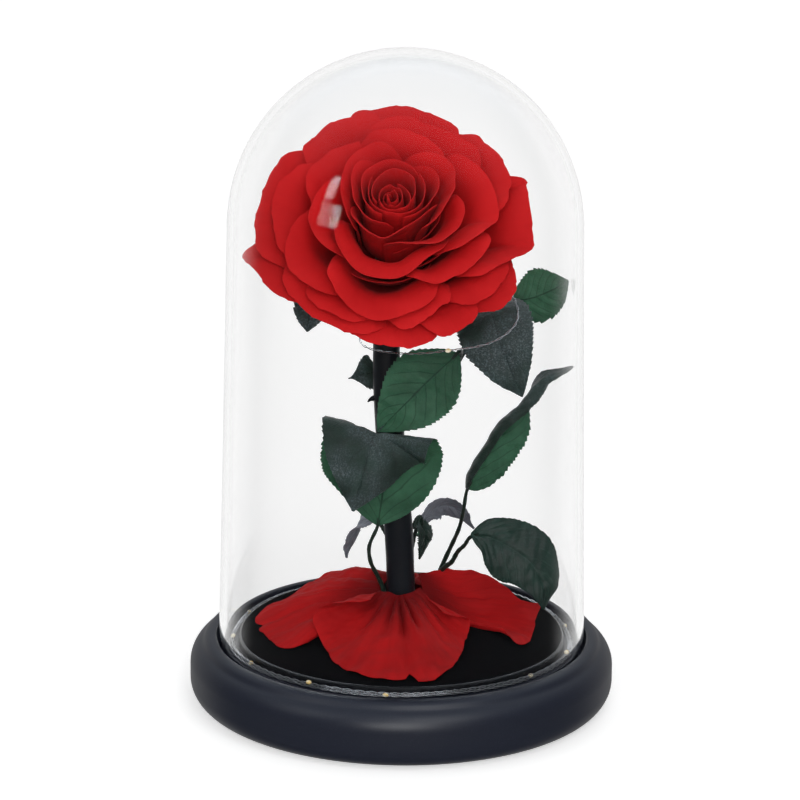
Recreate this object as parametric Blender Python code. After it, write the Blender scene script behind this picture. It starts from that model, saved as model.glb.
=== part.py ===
"""Preserved red rose under a clear glass dome on a round dark base, all fixed as one display piece.

Sizes are in millimetres and turned into metres where the meshes are made.
The origin is the middle of the base's underside, +Z is up and the front faces -Y.
"""

import math

import bmesh
import bpy
import numpy as np
from mathutils import Vector

MM = 0.001
GAP = 0.3  # clearance between neighbouring pieces
TINY = 1e-6  # a radius below this lies on the axis

# Base
BASE_RADIUS = 70.0
BASE_HEIGHT = 23.0
BASE_FOOT_RADIUS = 62.0
RIM_CREASE_RADIUS = 66.0
RIM_INNER_RADIUS = 61.2
GROOVE_INNER_RADIUS = 57.4
GROOVE_FLOOR = 17.0
LEDGE_HEIGHT = 21.5
BASE_SEGMENTS = 32

# Display disc and battery door
DISC_RADIUS = 53.9
DISC_TOP = 24.3
DISC_EDGE_ROUND = 0.8
BORE_RADIUS = 5.2
DOOR_SIZE = (58.0, 36.0)
DOOR_THICKNESS = 2.0
DOOR_CORNER = 4.0
NOTCH_RADIUS = 7.0

# Glass dome
DOME_FOOT_RADIUS = 60.6
DOME_SHOULDER_RADIUS = 58.2
DOME_SHOULDER_HEIGHT = 164.0
DOME_WALL = 2.4
DOME_CAP_STEPS = 5

# Stem: route of its middle and radius at each point
STEM_ROUTE = (
    ((0.4, 2.3, 22.2), 4.65),
    ((-0.4, 2.8, 40.0), 4.65),
    ((-1.4, 3.4, 60.0), 4.65),
    ((-3.6, 4.4, 82.0), 4.65),
    ((-5.3, 6.0, 104.0), 4.65),
    ((-5.9, 9.0, 122.0), 4.5),
    ((-5.6, 12.4, 130.0), 4.2),
    ((-5.2, 14.7, 136.4), 3.8),
    ((-4.9, 15.5, 140.0), 3.5),
    ((-4.7, 14.9, 141.9), 3.3),
    ((-4.7, 13.1, 143.6), 3.1),
)
STEM_POINTS = 14
STEM_CROWDING = 1.6  # gathers those points towards the bent neck

# Bloom: middle of its outline and the tilt of its axis above the horizontal, towards the front
BLOOM_CENTRE = Vector((-4.7, -8.0, 167.0))
BLOOM_TILT = math.radians(48)
BLOOM_RADIUS = 47.0
CLAW_START = (1.0, -14.0)  # radius and height of the innermost petals' roots
CLAW_END = (9.0, -25.0)  # the same for the outermost petals
TIP_TOP = 17.0  # height that the inner petals reach
TIP_FALL = 18.5  # how much lower the outermost petals end
PETAL_THICKNESS = 0.5
ROOT_THICKNESS = 0.3
WARP = 0.9  # slow unevenness of the whole bloom

# One row for each whorl: half width in degrees, cells across, then (azimuth, level) of its petals.
# A petal's level is the radius that its surface reaches, so no two petals share a surface.
WHORLS = {
    "bud": (78, 6, ((30, 5.0), (167, 6.9), (305, 8.8), (82, 10.7), (220, 12.5))),
    "cup": (70, 6, ((257, 15.0), (110, 14.6), (15, 17.2), (158, 17.6))),
    "heart": (52, 5, ((0, 22.6), (42, 25.2), (95, 20.7), (152, 29.4), (193, 26.9), (265, 29.2), (257, 19.8))),
    "middle": (44, 5, ((-22, 31.6), (13, 34.2), (88, 31.7), (205, 36.8), (160, 34.6))),
    "outer": (38, 5, ((267, 39.0), (226, 41.2), (-34, 41.3), (-12, 45.6), (34, 38.8))),
    "guard": (
        34,
        5,
        (
            (49, 41.5), (83, 45.3), (118, 42.6), (158, 45.1), (194, 47.4),
            (236, 43.5), (270, 45.8), (305.5, 43.5), (319, 48.2), (29, 48.0),
        ),
    ),
}
PETAL_CELLS_ALONG = 4
CLAW_SHARE = 0.22  # width of a petal's root against its widest
CORE_RADIUS = 3.2
LOBE_START = 7.7  # the calyx is star-shaped outside this radius

# Petals laid round the stem's foot.
# Each has its root's azimuths and heights, stations along its free edge (azimuth, radius, height) and its arch.
FOOT_ROOT_RADIUS = 7.6
FOOT_PETALS = {
    "foot_petal_front": (
        (200, 328), (38.5, 39.5),
        ((190, 27, 33.5), (200, 31, 30.0), (214, 35, 28.0), (230, 40, 26.0), (247, 47, 25.2), (262, 48, 25.2),
         (270, 46, 25.2), (280, 50, 25.2), (296, 42, 25.6), (311, 31, 28.5), (327, 27, 33.5)),
        1.0,
    ),
    "foot_petal_left": (
        (114, 182), (41.0, 31.0),
        ((108, 24, 34.0), (120, 31, 30.0), (136, 40, 26.4), (154, 46, 25.6), (174, 49, 28.0),
         (186, 48, 27.4), (198, 45, 25.4), (209, 39, 25.2)),
        6.0,
    ),
    "foot_petal_right": (
        (346, 398), (31.0, 41.0),
        ((325, 31, 25.2), (334, 39, 25.4), (341, 43, 25.2), (354, 47, 27.5), (366, 47, 31.0),
         (378, 42, 31.0), (388, 38, 31.0), (396, 27, 36.0)),
        7.0,
    ),
    "foot_petal_back": (
        (56, 86), (38.0, 39.0),
        ((57, 18, 34.0), (61, 24, 30.0), (66, 28, 27.0), (76, 28, 26.5), (84, 25, 29.0), (88, 18, 34.0)),
        5.0,
    ),
}

# Leaves: midrib from the base to the tip, half width, and which way each half spreads from it.
LEAF_THICKNESS = 0.45
LEAVES = {
    "leaf_upper_right": (
        ((33.5, 10.5, 138.5), (44.0, 12.0, 142.0), (53.2, 10.5, 146.0)),
        8.6, ((-0.3, 0.2, 0.9), (0.3, -0.2, -0.9)), 0.10,
    ),
    "leaf_hanging": (
        ((23.4, 11.5, 133.0), (26.4, 4.0, 136.4), (28.6, -3.5, 134.6), (31.4, -8.0, 126.0),
         (35.2, -9.5, 116.6), (38.6, -9.0, 109.1)),
        12.6, ((-0.96, 0.0, -0.28), (0.96, 0.0, 0.28)), -0.06,
    ),
    "leaf_centre": (
        ((17.6, -4.4, 122.2), (8.5, -6.2, 114.0), (-1.2, -7.2, 103.9), (-8.4, -7.2, 96.0)),
        12.4, ((-0.72, 0.1, 0.69), (0.72, -0.1, -0.69)), 0.08,
    ),
    "leaf_thorn_side": (
        ((-9.0, 12.6, 110.6), (-13.4, 12.4, 109.4), (-18.4, 12.0, 108.0)),
        6.2, ((0.1, 0.1, 1.0), (-0.1, -0.1, -1.0)), 0.05,
    ),
    "leaf_folded": (
        ((-8.1, -5.6, 63.0), (-6.4, -7.6, 79.0), (-7.3, -10.2, 91.0), (-8.9, -13.4, 97.6),
         (-10.6, -17.4, 94.2), (-13.4, -19.8, 83.7), (-16.2, -20.6, 73.0)),
        19.5, ((-0.97, 0.0, 0.24), (0.97, 0.0, -0.24)), 0.05,
    ),
    "leaf_slender": (
        ((21.1, -4.0, 75.4), (25.4, -5.2, 84.0), (31.6, -6.2, 94.6), (38.0, -6.2, 106.4),
         (45.6, -4.6, 114.4), (54.4, -3.4, 116.6)),
        8.2, ((-0.45, 0.80, 0.30), (0.80, -0.30, -0.50)), 0.12,
    ),
    "leaf_lower_right": (
        ((22.6, -2.4, 59.2), (28.9, -4.2, 58.6), (35.8, -6.2, 55.6), (42.6, -7.6, 50.6),
         (46.4, -8.6, 43.0), (46.6, -9.2, 35.4)),
        11.0, ((0.35, 0.30, 0.90), (-0.50, -0.35, -0.80)), 0.10,
    ),
    "leaf_arched": (
        ((4.6, 16.5, 54.5), (9.6, 18.0, 60.0), (14.6, 19.5, 61.4), (19.8, 21.0, 58.2), (24.0, 22.0, 52.6)),
        6.4, ((0.1, 0.75, -0.60), (-0.1, -0.75, 0.60)), 0.06,
    ),
    "leaf_behind_left": (
        ((-8.4, 13.0, 58.8), (-13.6, 15.0, 57.4), (-16.6, 16.0, 50.4), (-18.7, 16.4, 43.8)),
        5.2, ((0.50, 0.60, 0.60), (-0.50, -0.60, -0.60)), 0.06,
    ),
    "leaf_behind_right": (
        ((5.6, 9.6, 61.0), (7.6, 10.8, 53.0), (5.6, 11.4, 45.4)),
        3.6, ((0.60, 0.80, 0.0), (-0.60, -0.80, 0.0)), 0.05,
    ),
    "leaf_under_bloom": (
        ((-27.6, 2.6, 141.6), (-30.4, 0.0, 137.0), (-31.8, -2.6, 128.6)),
        6.2, ((-0.9, -0.2, 0.2), (0.9, 0.2, -0.2)), 0.08,
    ),
}
LEAF_STATIONS = 7
LEAF_WIDEST = 0.42  # place of a leaf's widest point along its midrib

# Leaf stalks: each is part of the leaf it carries
STALK_RADIUS = 0.9
STALKS = {
    "leaf_upper_right": ((-0.9, 12.2, 129.6), (12.0, 13.2, 134.6), (25.0, 11.6, 138.0), (34.5, 10.6, 138.9)),
    "leaf_hanging": ((-0.4, 7.3, 110.0), (7.0, 6.6, 110.8), (15.0, 5.0, 113.4), (21.0, 7.4, 121.6),
                     (23.2, 11.0, 131.0), (24.0, 10.2, 134.0)),
    "leaf_folded": ((-5.7, 0.8, 24.7), (-6.2, 1.1, 38.0), (-8.0, -0.6, 43.4), (-10.4, -3.4, 49.4), (-10.9, -5.0, 55.5),
                    (-8.3, -5.4, 62.4), (-7.8, -6.0, 66.0)),
    "leaf_slender": ((10.2, 14.4, 24.8), (11.2, 14.2, 35.0), (12.8, 13.0, 41.2), (15.2, 10.6, 48.0),
                     (17.0, 7.4, 53.4), (18.6, 3.0, 59.0), (19.9, -1.0, 66.0), (21.0, -3.6, 74.6), (22.4, -4.4, 78.4)),
    "leaf_lower_right": ((16.4, 8.2, 45.6), (18.4, 5.6, 50.2), (20.6, 2.0, 53.8), (22.4, -1.6, 57.8), (25.2, -3.2, 59.4)),
    "leaf_under_bloom": ((-10.5, 10.8, 129.2), (-18.0, 7.8, 136.6), (-26.0, 3.4, 141.8), (-28.4, 2.0, 140.8)),
    "leaf_centre": ((17.4, 4.2, 116.8), (18.6, 0.4, 121.0), (17.8, -3.8, 122.6), (15.6, -4.8, 120.4)),
    "leaf_thorn_side": ((-5.4, 13.0, 111.4), (-8.4, 12.8, 110.8), (-12.4, 12.5, 109.7)),
    "leaf_arched": ((1.5, 7.7, 46.0), (3.2, 12.6, 49.4), (4.6, 16.4, 54.0), (6.8, 17.2, 57.4)),
    "leaf_behind_left": ((-3.6, 7.7, 52.0), (-6.2, 11.4, 55.6), (-8.6, 13.0, 58.6), (-10.6, 13.8, 58.6)),
    "leaf_behind_right": ((3.5, 6.3, 58.0), (4.8, 8.2, 60.6), (5.8, 9.8, 60.8), (6.6, 10.2, 58.0)),
}

# Light wire: a wound ring on the ledge, and one strand up the stem's back and round the neck
WIRE_RADIUS = 0.4
RING_INNER = 54.8
RING_OUTER = 56.9
RING_TOP = 23.5
RISER_ROUTE = (
    (2.0, 55.8, 24.4), (1.4, 53.6, 25.9), (-0.2, 42.0, 25.3), (-1.0, 28.0, 25.2), (-1.0, 15.0, 25.9),
    (-0.8, 9.6, 29.0), (-0.8, 8.4, 36.0), (-1.2, 9.0, 58.0), (-2.6, 10.2, 82.0), (-3.0, 12.2, 104.0),
    (-1.6, 15.6, 118.0), (3.0, 19.4, 127.0), (14.0, 19.4, 135.6), (24.0, 16.0, 141.4), (30.0, 10.4, 143.4),
    (33.6, 4.0, 141.6), (36.6, -3.0, 138.4), (36.3, -10.0, 134.7), (31.4, -14.6, 131.0), (25.0, -16.6, 128.8),
    (16.0, -17.4, 127.6), (6.0, -17.2, 126.2), (-4.0, -14.6, 125.5), (-11.0, -9.6, 125.2),
    (-14.2, -3.0, 125.2), (-14.6, 4.0, 126.6), (-12.4, 11.6, 125.4), (-8.0, 18.0, 126.6), (1.0, 21.6, 128.6),
    (10.0, 17.0, 130.0), (13.4, 6.0, 130.6), (12.2, -6.0, 130.6), (6.4, -13.4, 129.2), (-0.4, -13.8, 127.6),
)
RISER_POINTS = 50


def material(name, colour, roughness, metallic=0.0, transmission=0.0):
    made = bpy.data.materials.new(name)
    made.use_nodes = True
    made.diffuse_color = (*colour, 1.0)
    shader = made.node_tree.nodes["Principled BSDF"]
    shader.inputs["Base Color"].default_value = (*colour, 1.0)
    shader.inputs["Roughness"].default_value = roughness
    shader.inputs["Metallic"].default_value = metallic
    shader.inputs["Transmission Weight"].default_value = transmission
    return made


def mesh_object(name, points, faces, finish, smooth=50):
    """A mesh object from points in millimetres, with its faces turned outwards."""
    mesh = bpy.data.meshes.new(name)
    mesh.from_pydata([tuple(c * MM for c in p) for p in points], [], faces)
    work = bmesh.new()
    work.from_mesh(mesh)
    bmesh.ops.recalc_face_normals(work, faces=work.faces)
    work.to_mesh(mesh)
    work.free()
    mesh.shade_smooth()
    mesh.set_sharp_from_angle(angle=math.radians(smooth))
    mesh.materials.append(finish)
    made = bpy.data.objects.new(name, mesh)
    bpy.context.scene.collection.objects.link(made)
    return made


def turned(name, profile, segments, finish, shape=None, smooth=50):
    """A closed profile of (radius, height) turned about Z; shape(radius, height, angle) may place its points."""
    points = []
    rings = []
    for radius, height in profile:
        around = 1 if radius < TINY else segments
        rings.append([len(points) + i % around for i in range(segments)])
        for i in range(around):
            angle = 2 * math.pi * i / segments
            if shape:
                points.append(shape(radius, height, angle))
            else:
                points.append((radius * math.cos(angle), radius * math.sin(angle), height))
    faces = []
    for low, high in zip(rings, rings[1:] + rings[:1]):
        for i in range(segments):
            j = (i + 1) % segments
            corners = [low[i], low[j], high[j], high[i]]
            face = [c for n, c in enumerate(corners) if c != corners[n - 1]]
            if len(face) > 2:
                faces.append(face)
    return mesh_object(name, points, faces, finish, smooth)


def smooth_route(route, count, crowding=1.0):
    """Points on a smooth curve through the route's points (centripetal Catmull-Rom), evenly spaced
    or, with a crowding above 1, closer towards its end."""
    pts = [np.array(p, float) for p in route]
    pts = [2 * pts[0] - pts[1]] + pts + [2 * pts[-1] - pts[-2]]
    fine = []
    for a, b, c, d in zip(pts, pts[1:], pts[2:], pts[3:]):
        t1 = max(np.linalg.norm(b - a), 1e-6) ** 0.5
        t2 = t1 + max(np.linalg.norm(c - b), 1e-6) ** 0.5
        t3 = t2 + max(np.linalg.norm(d - c), 1e-6) ** 0.5
        for t in np.linspace(t1, t2, 16, endpoint=False):
            ab = (t1 - t) / t1 * a + t / t1 * b
            bc = (t2 - t) / (t2 - t1) * b + (t - t1) / (t2 - t1) * c
            cd = (t3 - t) / (t3 - t2) * c + (t - t2) / (t3 - t2) * d
            abc = (t2 - t) / t2 * ab + t / t2 * bc
            bcd = (t3 - t) / (t3 - t1) * bc + (t - t1) / (t3 - t1) * cd
            fine.append((t2 - t) / (t2 - t1) * abc + (t - t1) / (t2 - t1) * bcd)
    fine.append(pts[-2])
    fine = np.array(fine)
    run = np.concatenate([[0.0], np.cumsum(np.linalg.norm(np.diff(fine, axis=0), axis=1))])
    at = run[-1] * (1.0 - np.linspace(1.0, 0.0, count) ** crowding)
    return np.stack([np.interp(at, run, fine[:, k]) for k in range(3)], axis=1)


def tube(name, points, radii, resolution, finish):
    """A curve object with a round section and filled caps."""
    curve = bpy.data.curves.new(name, "CURVE")
    curve.dimensions = "3D"
    curve.bevel_depth = MM
    curve.bevel_resolution = resolution
    curve.use_fill_caps = True
    spline = curve.splines.new("POLY")
    spline.points.add(len(points) - 1)
    for spot, point, radius in zip(spline.points, points, radii):
        spot.co = (*(float(c) * MM for c in point), 1.0)
        spot.radius = float(radius)
    spline.use_smooth = True
    curve.materials.append(finish)
    made = bpy.data.objects.new(name, curve)
    bpy.context.scene.collection.objects.link(made)
    return made


def swept(name, points, radii, sides, finish):
    """A closed mesh tube along the points, its sections turned as little as possible from one to the next."""
    tangent = np.gradient(points, axis=0)
    tangent /= np.linalg.norm(tangent, axis=1, keepdims=True)
    first = np.cross(tangent[0], (0.0, 1.0, 0.0))
    corners = []
    for point, way, radius in zip(points, tangent, radii):
        first = first - way * np.dot(first, way)
        first /= np.linalg.norm(first)
        second = np.cross(way, first)
        for k in range(sides):
            angle = 2 * math.pi * k / sides
            corners.append(point + radius * (first * math.cos(angle) + second * math.sin(angle)))
    faces = [tuple(range(sides)), tuple(range(len(corners) - sides, len(corners)))]
    for ring in range(len(points) - 1):
        for k in range(sides):
            a = ring * sides + k
            b = ring * sides + (k + 1) % sides
            faces.append((a, b, b + sides, a + sides))
    return mesh_object(name, [tuple(map(float, c)) for c in corners], faces, finish, 60)


def sheet(name, grid, thickness, finish):
    """A closed thin solid with the grid of points (rows, columns, 3) as its middle surface."""
    rows, columns = grid.shape[:2]
    along = np.gradient(grid, axis=0)
    across = np.gradient(grid, axis=1)
    normal = np.cross(along, across)
    normal /= np.maximum(np.linalg.norm(normal, axis=2, keepdims=True), 1e-9)
    half = np.broadcast_to(np.asarray(thickness, float) / 2, (rows, columns))[..., None]
    points = np.concatenate([(grid + normal * half).reshape(-1, 3), (grid - normal * half).reshape(-1, 3)])
    under = rows * columns
    faces = []
    for r in range(rows - 1):
        for c in range(columns - 1):
            a, b, d, e = r * columns + c, r * columns + c + 1, (r + 1) * columns + c + 1, (r + 1) * columns + c
            faces.append((a, b, d, e))
            faces.append((under + e, under + d, under + b, under + a))
    rim = [c for c in range(columns)]
    rim += [r * columns + columns - 1 for r in range(1, rows)]
    rim += [(rows - 1) * columns + c for c in range(columns - 2, -1, -1)]
    rim += [r * columns for r in range(rows - 2, 0, -1)]
    for a, b in zip(rim, rim[1:] + rim[:1]):
        faces.append((b, a, under + a, under + b))
    return mesh_object(name, [tuple(map(float, p)) for p in points], faces, finish)


def cut(target, cutter):
    """Cuts one object out of another and keeps the cutter out of the model."""
    cutter.hide_render = True
    cutter.display_type = "WIRE"
    made = target.modifiers.new("cut_" + cutter.name, "BOOLEAN")
    made.operation = "DIFFERENCE"
    made.solver = "EXACT"
    made.object = cutter


def unite(target, other):
    """Joins another object to the target as one solid."""
    other.hide_render = True
    other.display_type = "WIRE"
    made = target.modifiers.new("join_" + other.name, "BOOLEAN")
    made.operation = "UNION"
    made.solver = "EXACT"
    made.object = other


def arc(centre, radius, start, end, steps):
    """Points of (radius, height) on an arc, its angles in degrees."""
    made = []
    for k in range(steps + 1):
        angle = math.radians(start + (end - start) * k / steps)
        made.append((centre[0] + radius * math.cos(angle), centre[1] + radius * math.sin(angle)))
    return made


def rounded_plate(name, size, corner, low, high, finish):
    """A plate with round corners between two heights, centred on the Z axis."""
    outline = []
    for sx, sy, start in ((1, 1, 0), (-1, 1, 90), (-1, -1, 180), (1, -1, 270)):
        middle = (sx * (size[0] / 2 - corner), sy * (size[1] / 2 - corner))
        outline += arc(middle, corner, start, start + 90, 3)
    count = len(outline)
    points = [(x, y, low) for x, y in outline] + [(x, y, high) for x, y in outline]
    faces = [tuple(range(count)), tuple(range(count, 2 * count))]
    faces += [(i, (i + 1) % count, count + (i + 1) % count, count + i) for i in range(count)]
    return mesh_object(name, points, faces, finish, 30)


def make_base(finish):
    side = arc((BASE_FOOT_RADIUS, 8.6), 8.0, -82, 0, 3)
    top = arc((BASE_FOOT_RADIUS, 13.4), 8.0, 0, 58, 2)
    profile = [(0.0, 0.0), (BASE_FOOT_RADIUS - 1.0, 0.0)]
    profile += side + top
    profile += [
        (RIM_CREASE_RADIUS - 1.4, BASE_HEIGHT - 0.6),
        (RIM_INNER_RADIUS + 1.0, BASE_HEIGHT),
        (RIM_INNER_RADIUS, BASE_HEIGHT - 0.8),
        (RIM_INNER_RADIUS, GROOVE_FLOOR),
        (GROOVE_INNER_RADIUS, GROOVE_FLOOR),
        (GROOVE_INNER_RADIUS, LEDGE_HEIGHT),
        (0.0, LEDGE_HEIGHT),
    ]
    base = turned("base", profile, BASE_SEGMENTS, finish, smooth=35)
    recess = rounded_plate(
        "door_recess", (DOOR_SIZE[0] + 2 * GAP, DOOR_SIZE[1] + 2 * GAP), DOOR_CORNER + GAP,
        -1.0, DOOR_THICKNESS + GAP, finish,
    )
    cut(base, recess)
    hole = turned("wire_hole", [(0.0, 18.5), (1.2, 18.5), (1.2, 23.0), (0.0, 23.0)], 8, finish,
                  lambda r, h, a: (8.0 + r * math.cos(a), 55.4 + r * math.sin(a), h))
    cut(base, hole)
    return base


def make_battery_door(finish):
    door = rounded_plate("battery_door", DOOR_SIZE, DOOR_CORNER, 0.0, DOOR_THICKNESS, finish)
    notch = turned("door_notch", [(0.0, -1.0), (NOTCH_RADIUS, -1.0), (NOTCH_RADIUS, 0.9), (0.0, 0.9)], 16, finish,
                   lambda r, h, a: (DOOR_SIZE[0] / 2 + r * math.cos(a), r * math.sin(a), h))
    cut(door, notch)
    return door


def make_disc(finish):
    low = LEDGE_HEIGHT + GAP
    profile = [
        (0.0, low),
        (DISC_RADIUS - 0.3, low),
        (DISC_RADIUS, low + 0.5),
        (DISC_RADIUS, DISC_TOP - DISC_EDGE_ROUND),
        (DISC_RADIUS - DISC_EDGE_ROUND, DISC_TOP),
        (0.0, DISC_TOP),
    ]
    disc = turned("display_disc", profile, BASE_SEGMENTS, finish, smooth=35)
    foot = STEM_ROUTE[0][0]
    bore = turned("stem_bore", [(0.0, 15.0), (BORE_RADIUS, 15.0), (BORE_RADIUS, 30.0), (0.0, 30.0)], 16, finish,
                  lambda r, h, a: (foot[0] + r * math.cos(a), foot[1] + r * math.sin(a), h))
    cut(disc, bore)
    return disc


def make_dome(finish):
    """The profile runs up outside to the crown and down inside, and closes across the foot."""
    foot = GROOVE_FLOOR + GAP
    centre = (0.0, DOME_SHOULDER_HEIGHT)
    outer = [(DOME_FOOT_RADIUS, foot)] + arc(centre, DOME_SHOULDER_RADIUS, 0, 90, DOME_CAP_STEPS)
    inner = arc(centre, DOME_SHOULDER_RADIUS - DOME_WALL, 90, 0, DOME_CAP_STEPS)
    inner.append((DOME_FOOT_RADIUS - DOME_WALL, foot))
    return turned("glass_dome", outer + inner, BASE_SEGMENTS, finish, smooth=40)


def make_stem(finish):
    route = smooth_route([p for p, _ in STEM_ROUTE], STEM_POINTS, STEM_CROWDING)
    heights = [p[2] for p, _ in STEM_ROUTE]
    radii = np.interp(route[:, 2], heights, [r for _, r in STEM_ROUTE])
    return tube("stem", route, radii, 3, finish)


def bloom_point(radius, azimuth, height):
    """World point from the bloom's own radius, azimuth (0 is right, 90 is up) and height along its axis."""
    axis = Vector((0.0, -math.cos(BLOOM_TILT), math.sin(BLOOM_TILT)))
    upward = Vector((0.0, math.sin(BLOOM_TILT), math.cos(BLOOM_TILT)))
    x = radius * math.cos(azimuth)
    y = radius * math.sin(azimuth)
    swell = WARP * min(1.0, radius / 12.0)
    x += swell * math.sin(y / 9.0 + height / 14.0 + 0.6)
    y += swell * math.sin(x / 10.0 - height / 12.0 + 2.1)
    height += 1.3 * swell * math.sin(x / 11.0 + 0.4) * math.cos(y / 12.0 + 0.9)
    return BLOOM_CENTRE + Vector((1.0, 0.0, 0.0)) * x + upward * y + axis * height


def petal_profile(level, v):
    """Radius and height of the petal surface of this level, from its root (v = 0) to its lip (v = 1)."""
    t = level / BLOOM_RADIUS
    root = (CLAW_START[0] + (CLAW_END[0] - CLAW_START[0]) * t, CLAW_START[1] + (CLAW_END[1] - CLAW_START[1]) * t)
    tip = (level, TIP_TOP - TIP_FALL * max(0.0, (level - 10.0) / (BLOOM_RADIUS - 10.0)) ** 1.8)
    reach = math.hypot(tip[0] - root[0], tip[1] - root[1])
    leave = math.radians(82 - 76 * t ** 1.5)
    arrive = math.radians(92 - 100 * t ** 0.8)
    first = (root[0] + 0.36 * reach * math.cos(leave), root[1] + 0.36 * reach * math.sin(leave))
    second = (tip[0] - 0.36 * reach * math.cos(arrive), tip[1] - 0.36 * reach * math.sin(arrive))
    a, b, c, d = (1 - v) ** 3, 3 * v * (1 - v) ** 2, 3 * v * v * (1 - v), v ** 3
    return tuple(a * root[k] + b * first[k] + c * second[k] + d * tip[k] for k in (0, 1))


def petal_grid(azimuth, level, half_width, cells):
    """Middle surface of one bloom petal: narrow at its root, widest past the middle, with a rounded lip."""
    rows = PETAL_CELLS_ALONG + 1
    grid = np.zeros((rows, cells + 1, 3))
    for r in range(rows):
        for c in range(cells + 1):
            u = 2.0 * c / cells - 1.0
            lip = 1.0 - 0.30 * abs(u) ** 2.6 + (0.02 if u == 0.0 else 0.0)
            v = lip * r / (rows - 1)
            width = CLAW_SHARE + (1 - CLAW_SHARE) * math.sin(math.pi / 2 * min(1.0, v / 0.55))
            turn = math.radians(azimuth + half_width * width * u)
            radius, height = petal_profile(level, v)
            grid[r, c] = bloom_point(radius, turn, height)
    return grid


def make_bloom(finish):
    along = np.linspace(0.0, 1.0, PETAL_CELLS_ALONG + 1)
    thickness = np.interp(along, (0.0, 0.5), (ROOT_THICKNESS, PETAL_THICKNESS))[:, None]
    for whorl, (half_width, cells, petals) in WHORLS.items():
        for number, (azimuth, level) in enumerate(petals, 1):
            grid = petal_grid(azimuth, level, half_width, cells)
            sheet(f"petal_{whorl}_{number}", grid, thickness, finish)
    low, high = CLAW_START[1] + 0.5, TIP_TOP - 1.5
    profile = [
        (0.0, low), (0.7, low), (1.2, low + 8), (CORE_RADIUS * 0.8, low + 18),
        (CORE_RADIUS, high - 4), (CORE_RADIUS * 0.7, high), (0.0, high + 0.6),
    ]
    turned("bloom_core", profile, 9, finish, lambda r, h, a: bloom_point(r, a, h), smooth=60)


def make_calyx(finish):
    """The hip under the petals, with five short sepals in one piece with it."""
    def place(radius, height, angle):
        if radius > LOBE_START:
            radius = LOBE_START + (radius - LOBE_START) * math.cos(2.5 * angle) ** 2
        return bloom_point(radius, angle, height)

    profile = [
        (0.0, -31.0), (3.2, -31.0), (4.2, -30.2), (6.6, -29.0), (7.3, -27.8), (12.5, -29.0),
        (13.0, -28.4), (7.4, -26.6), (4.0, -22.4), (0.0, -17.6),
    ]
    return turned("calyx", profile, 15, finish, place, smooth=60)


def make_foot_petal(name, root, heights, edge, bulge, finish):
    """A broad petal from the stem's foot out to its free edge on or above the disc."""
    centre = STEM_ROUTE[1][0]
    count = 7
    spots = smooth_route([(a, r, z) for a, r, z in edge], count)
    rows = 5
    grid = np.zeros((rows, count, 3))
    for c, (end_turn, end_radius, end_height) in enumerate(spots):
        share = c / (count - 1)
        start_turn = root[0] + (root[1] - root[0]) * share
        out = math.radians(end_turn)
        tip = (end_radius * math.cos(out), end_radius * math.sin(out))
        begin = math.radians(start_turn)
        first = (
            centre[0] + FOOT_ROOT_RADIUS * math.cos(begin),
            centre[1] + FOOT_ROOT_RADIUS * math.sin(begin),
        )
        for r in range(rows):
            v = r / (rows - 1)
            x = first[0] + (tip[0] - first[0]) * v
            y = first[1] + (tip[1] - first[1]) * v
            begin_height = heights[0] + (heights[1] - heights[0]) * share
            straight = begin_height + (end_height - begin_height) * v
            rise = bulge * math.sin(math.pi * v) * math.sin(math.pi * share)
            grid[r, c] = (x, y, straight + rise)
    return sheet(name, grid, PETAL_THICKNESS, finish)


def leaf_width(t):
    """Share of the full half width at t along the midrib, pointed at the tip and round at the base."""
    if t < LEAF_WIDEST:
        return max(0.06, math.sin(math.pi / 2 * t / LEAF_WIDEST) ** 0.75)
    return max(0.03, math.cos(math.pi / 2 * (t - LEAF_WIDEST) / (1 - LEAF_WIDEST)) ** 0.9)


def leaf_grid(rib, half_width, sides, cup):
    """Middle surface of a leaf: two halves that spread from the midrib, curved up or down by the cup."""
    middle = smooth_route(rib, LEAF_STATIONS)
    tangent = np.gradient(middle, axis=0)
    tangent /= np.linalg.norm(tangent, axis=1, keepdims=True)
    grid = np.zeros((LEAF_STATIONS, 5, 3))
    for r in range(LEAF_STATIONS):
        t = r / (LEAF_STATIONS - 1)
        spread = []
        for side in sides:
            way = np.array(side) - tangent[r] * np.dot(side, tangent[r])
            spread.append(way / np.linalg.norm(way))
        face = np.cross(tangent[r], spread[1] - spread[0])
        face /= np.linalg.norm(face)
        width = half_width * leaf_width(t)
        for c, u in enumerate((-1.0, -0.5, 0.0, 0.5, 1.0)):
            way = spread[0] if u < 0 else spread[1]
            grid[r, c] = middle[r] + way * abs(u) * width + face * cup * width * u * u * 2
    return grid


def make_leaf(name, rib, half_width, sides, cup, finish):
    blade = sheet(name, leaf_grid(rib, half_width, sides, cup), LEAF_THICKNESS, finish)
    if name in STALKS:
        points = smooth_route(STALKS[name], 1 + len(STALKS[name]))
        radii = np.linspace(STALK_RADIUS, 0.7 * STALK_RADIUS, len(points))
        unite(blade, swept(name + "_stalk", points, radii, 5, finish))
    return blade


def make_light_wire(finish):
    profile = [
        (RING_INNER, LEDGE_HEIGHT + GAP), (RING_OUTER, LEDGE_HEIGHT + GAP),
        (RING_OUTER, RING_TOP), (RING_INNER, RING_TOP),
    ]
    turned("light_wire_ring", profile, BASE_SEGMENTS, finish, smooth=35)
    points = smooth_route(RISER_ROUTE, RISER_POINTS)
    tube("light_wire_riser", points, [WIRE_RADIUS] * len(points), 2, finish)


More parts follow.
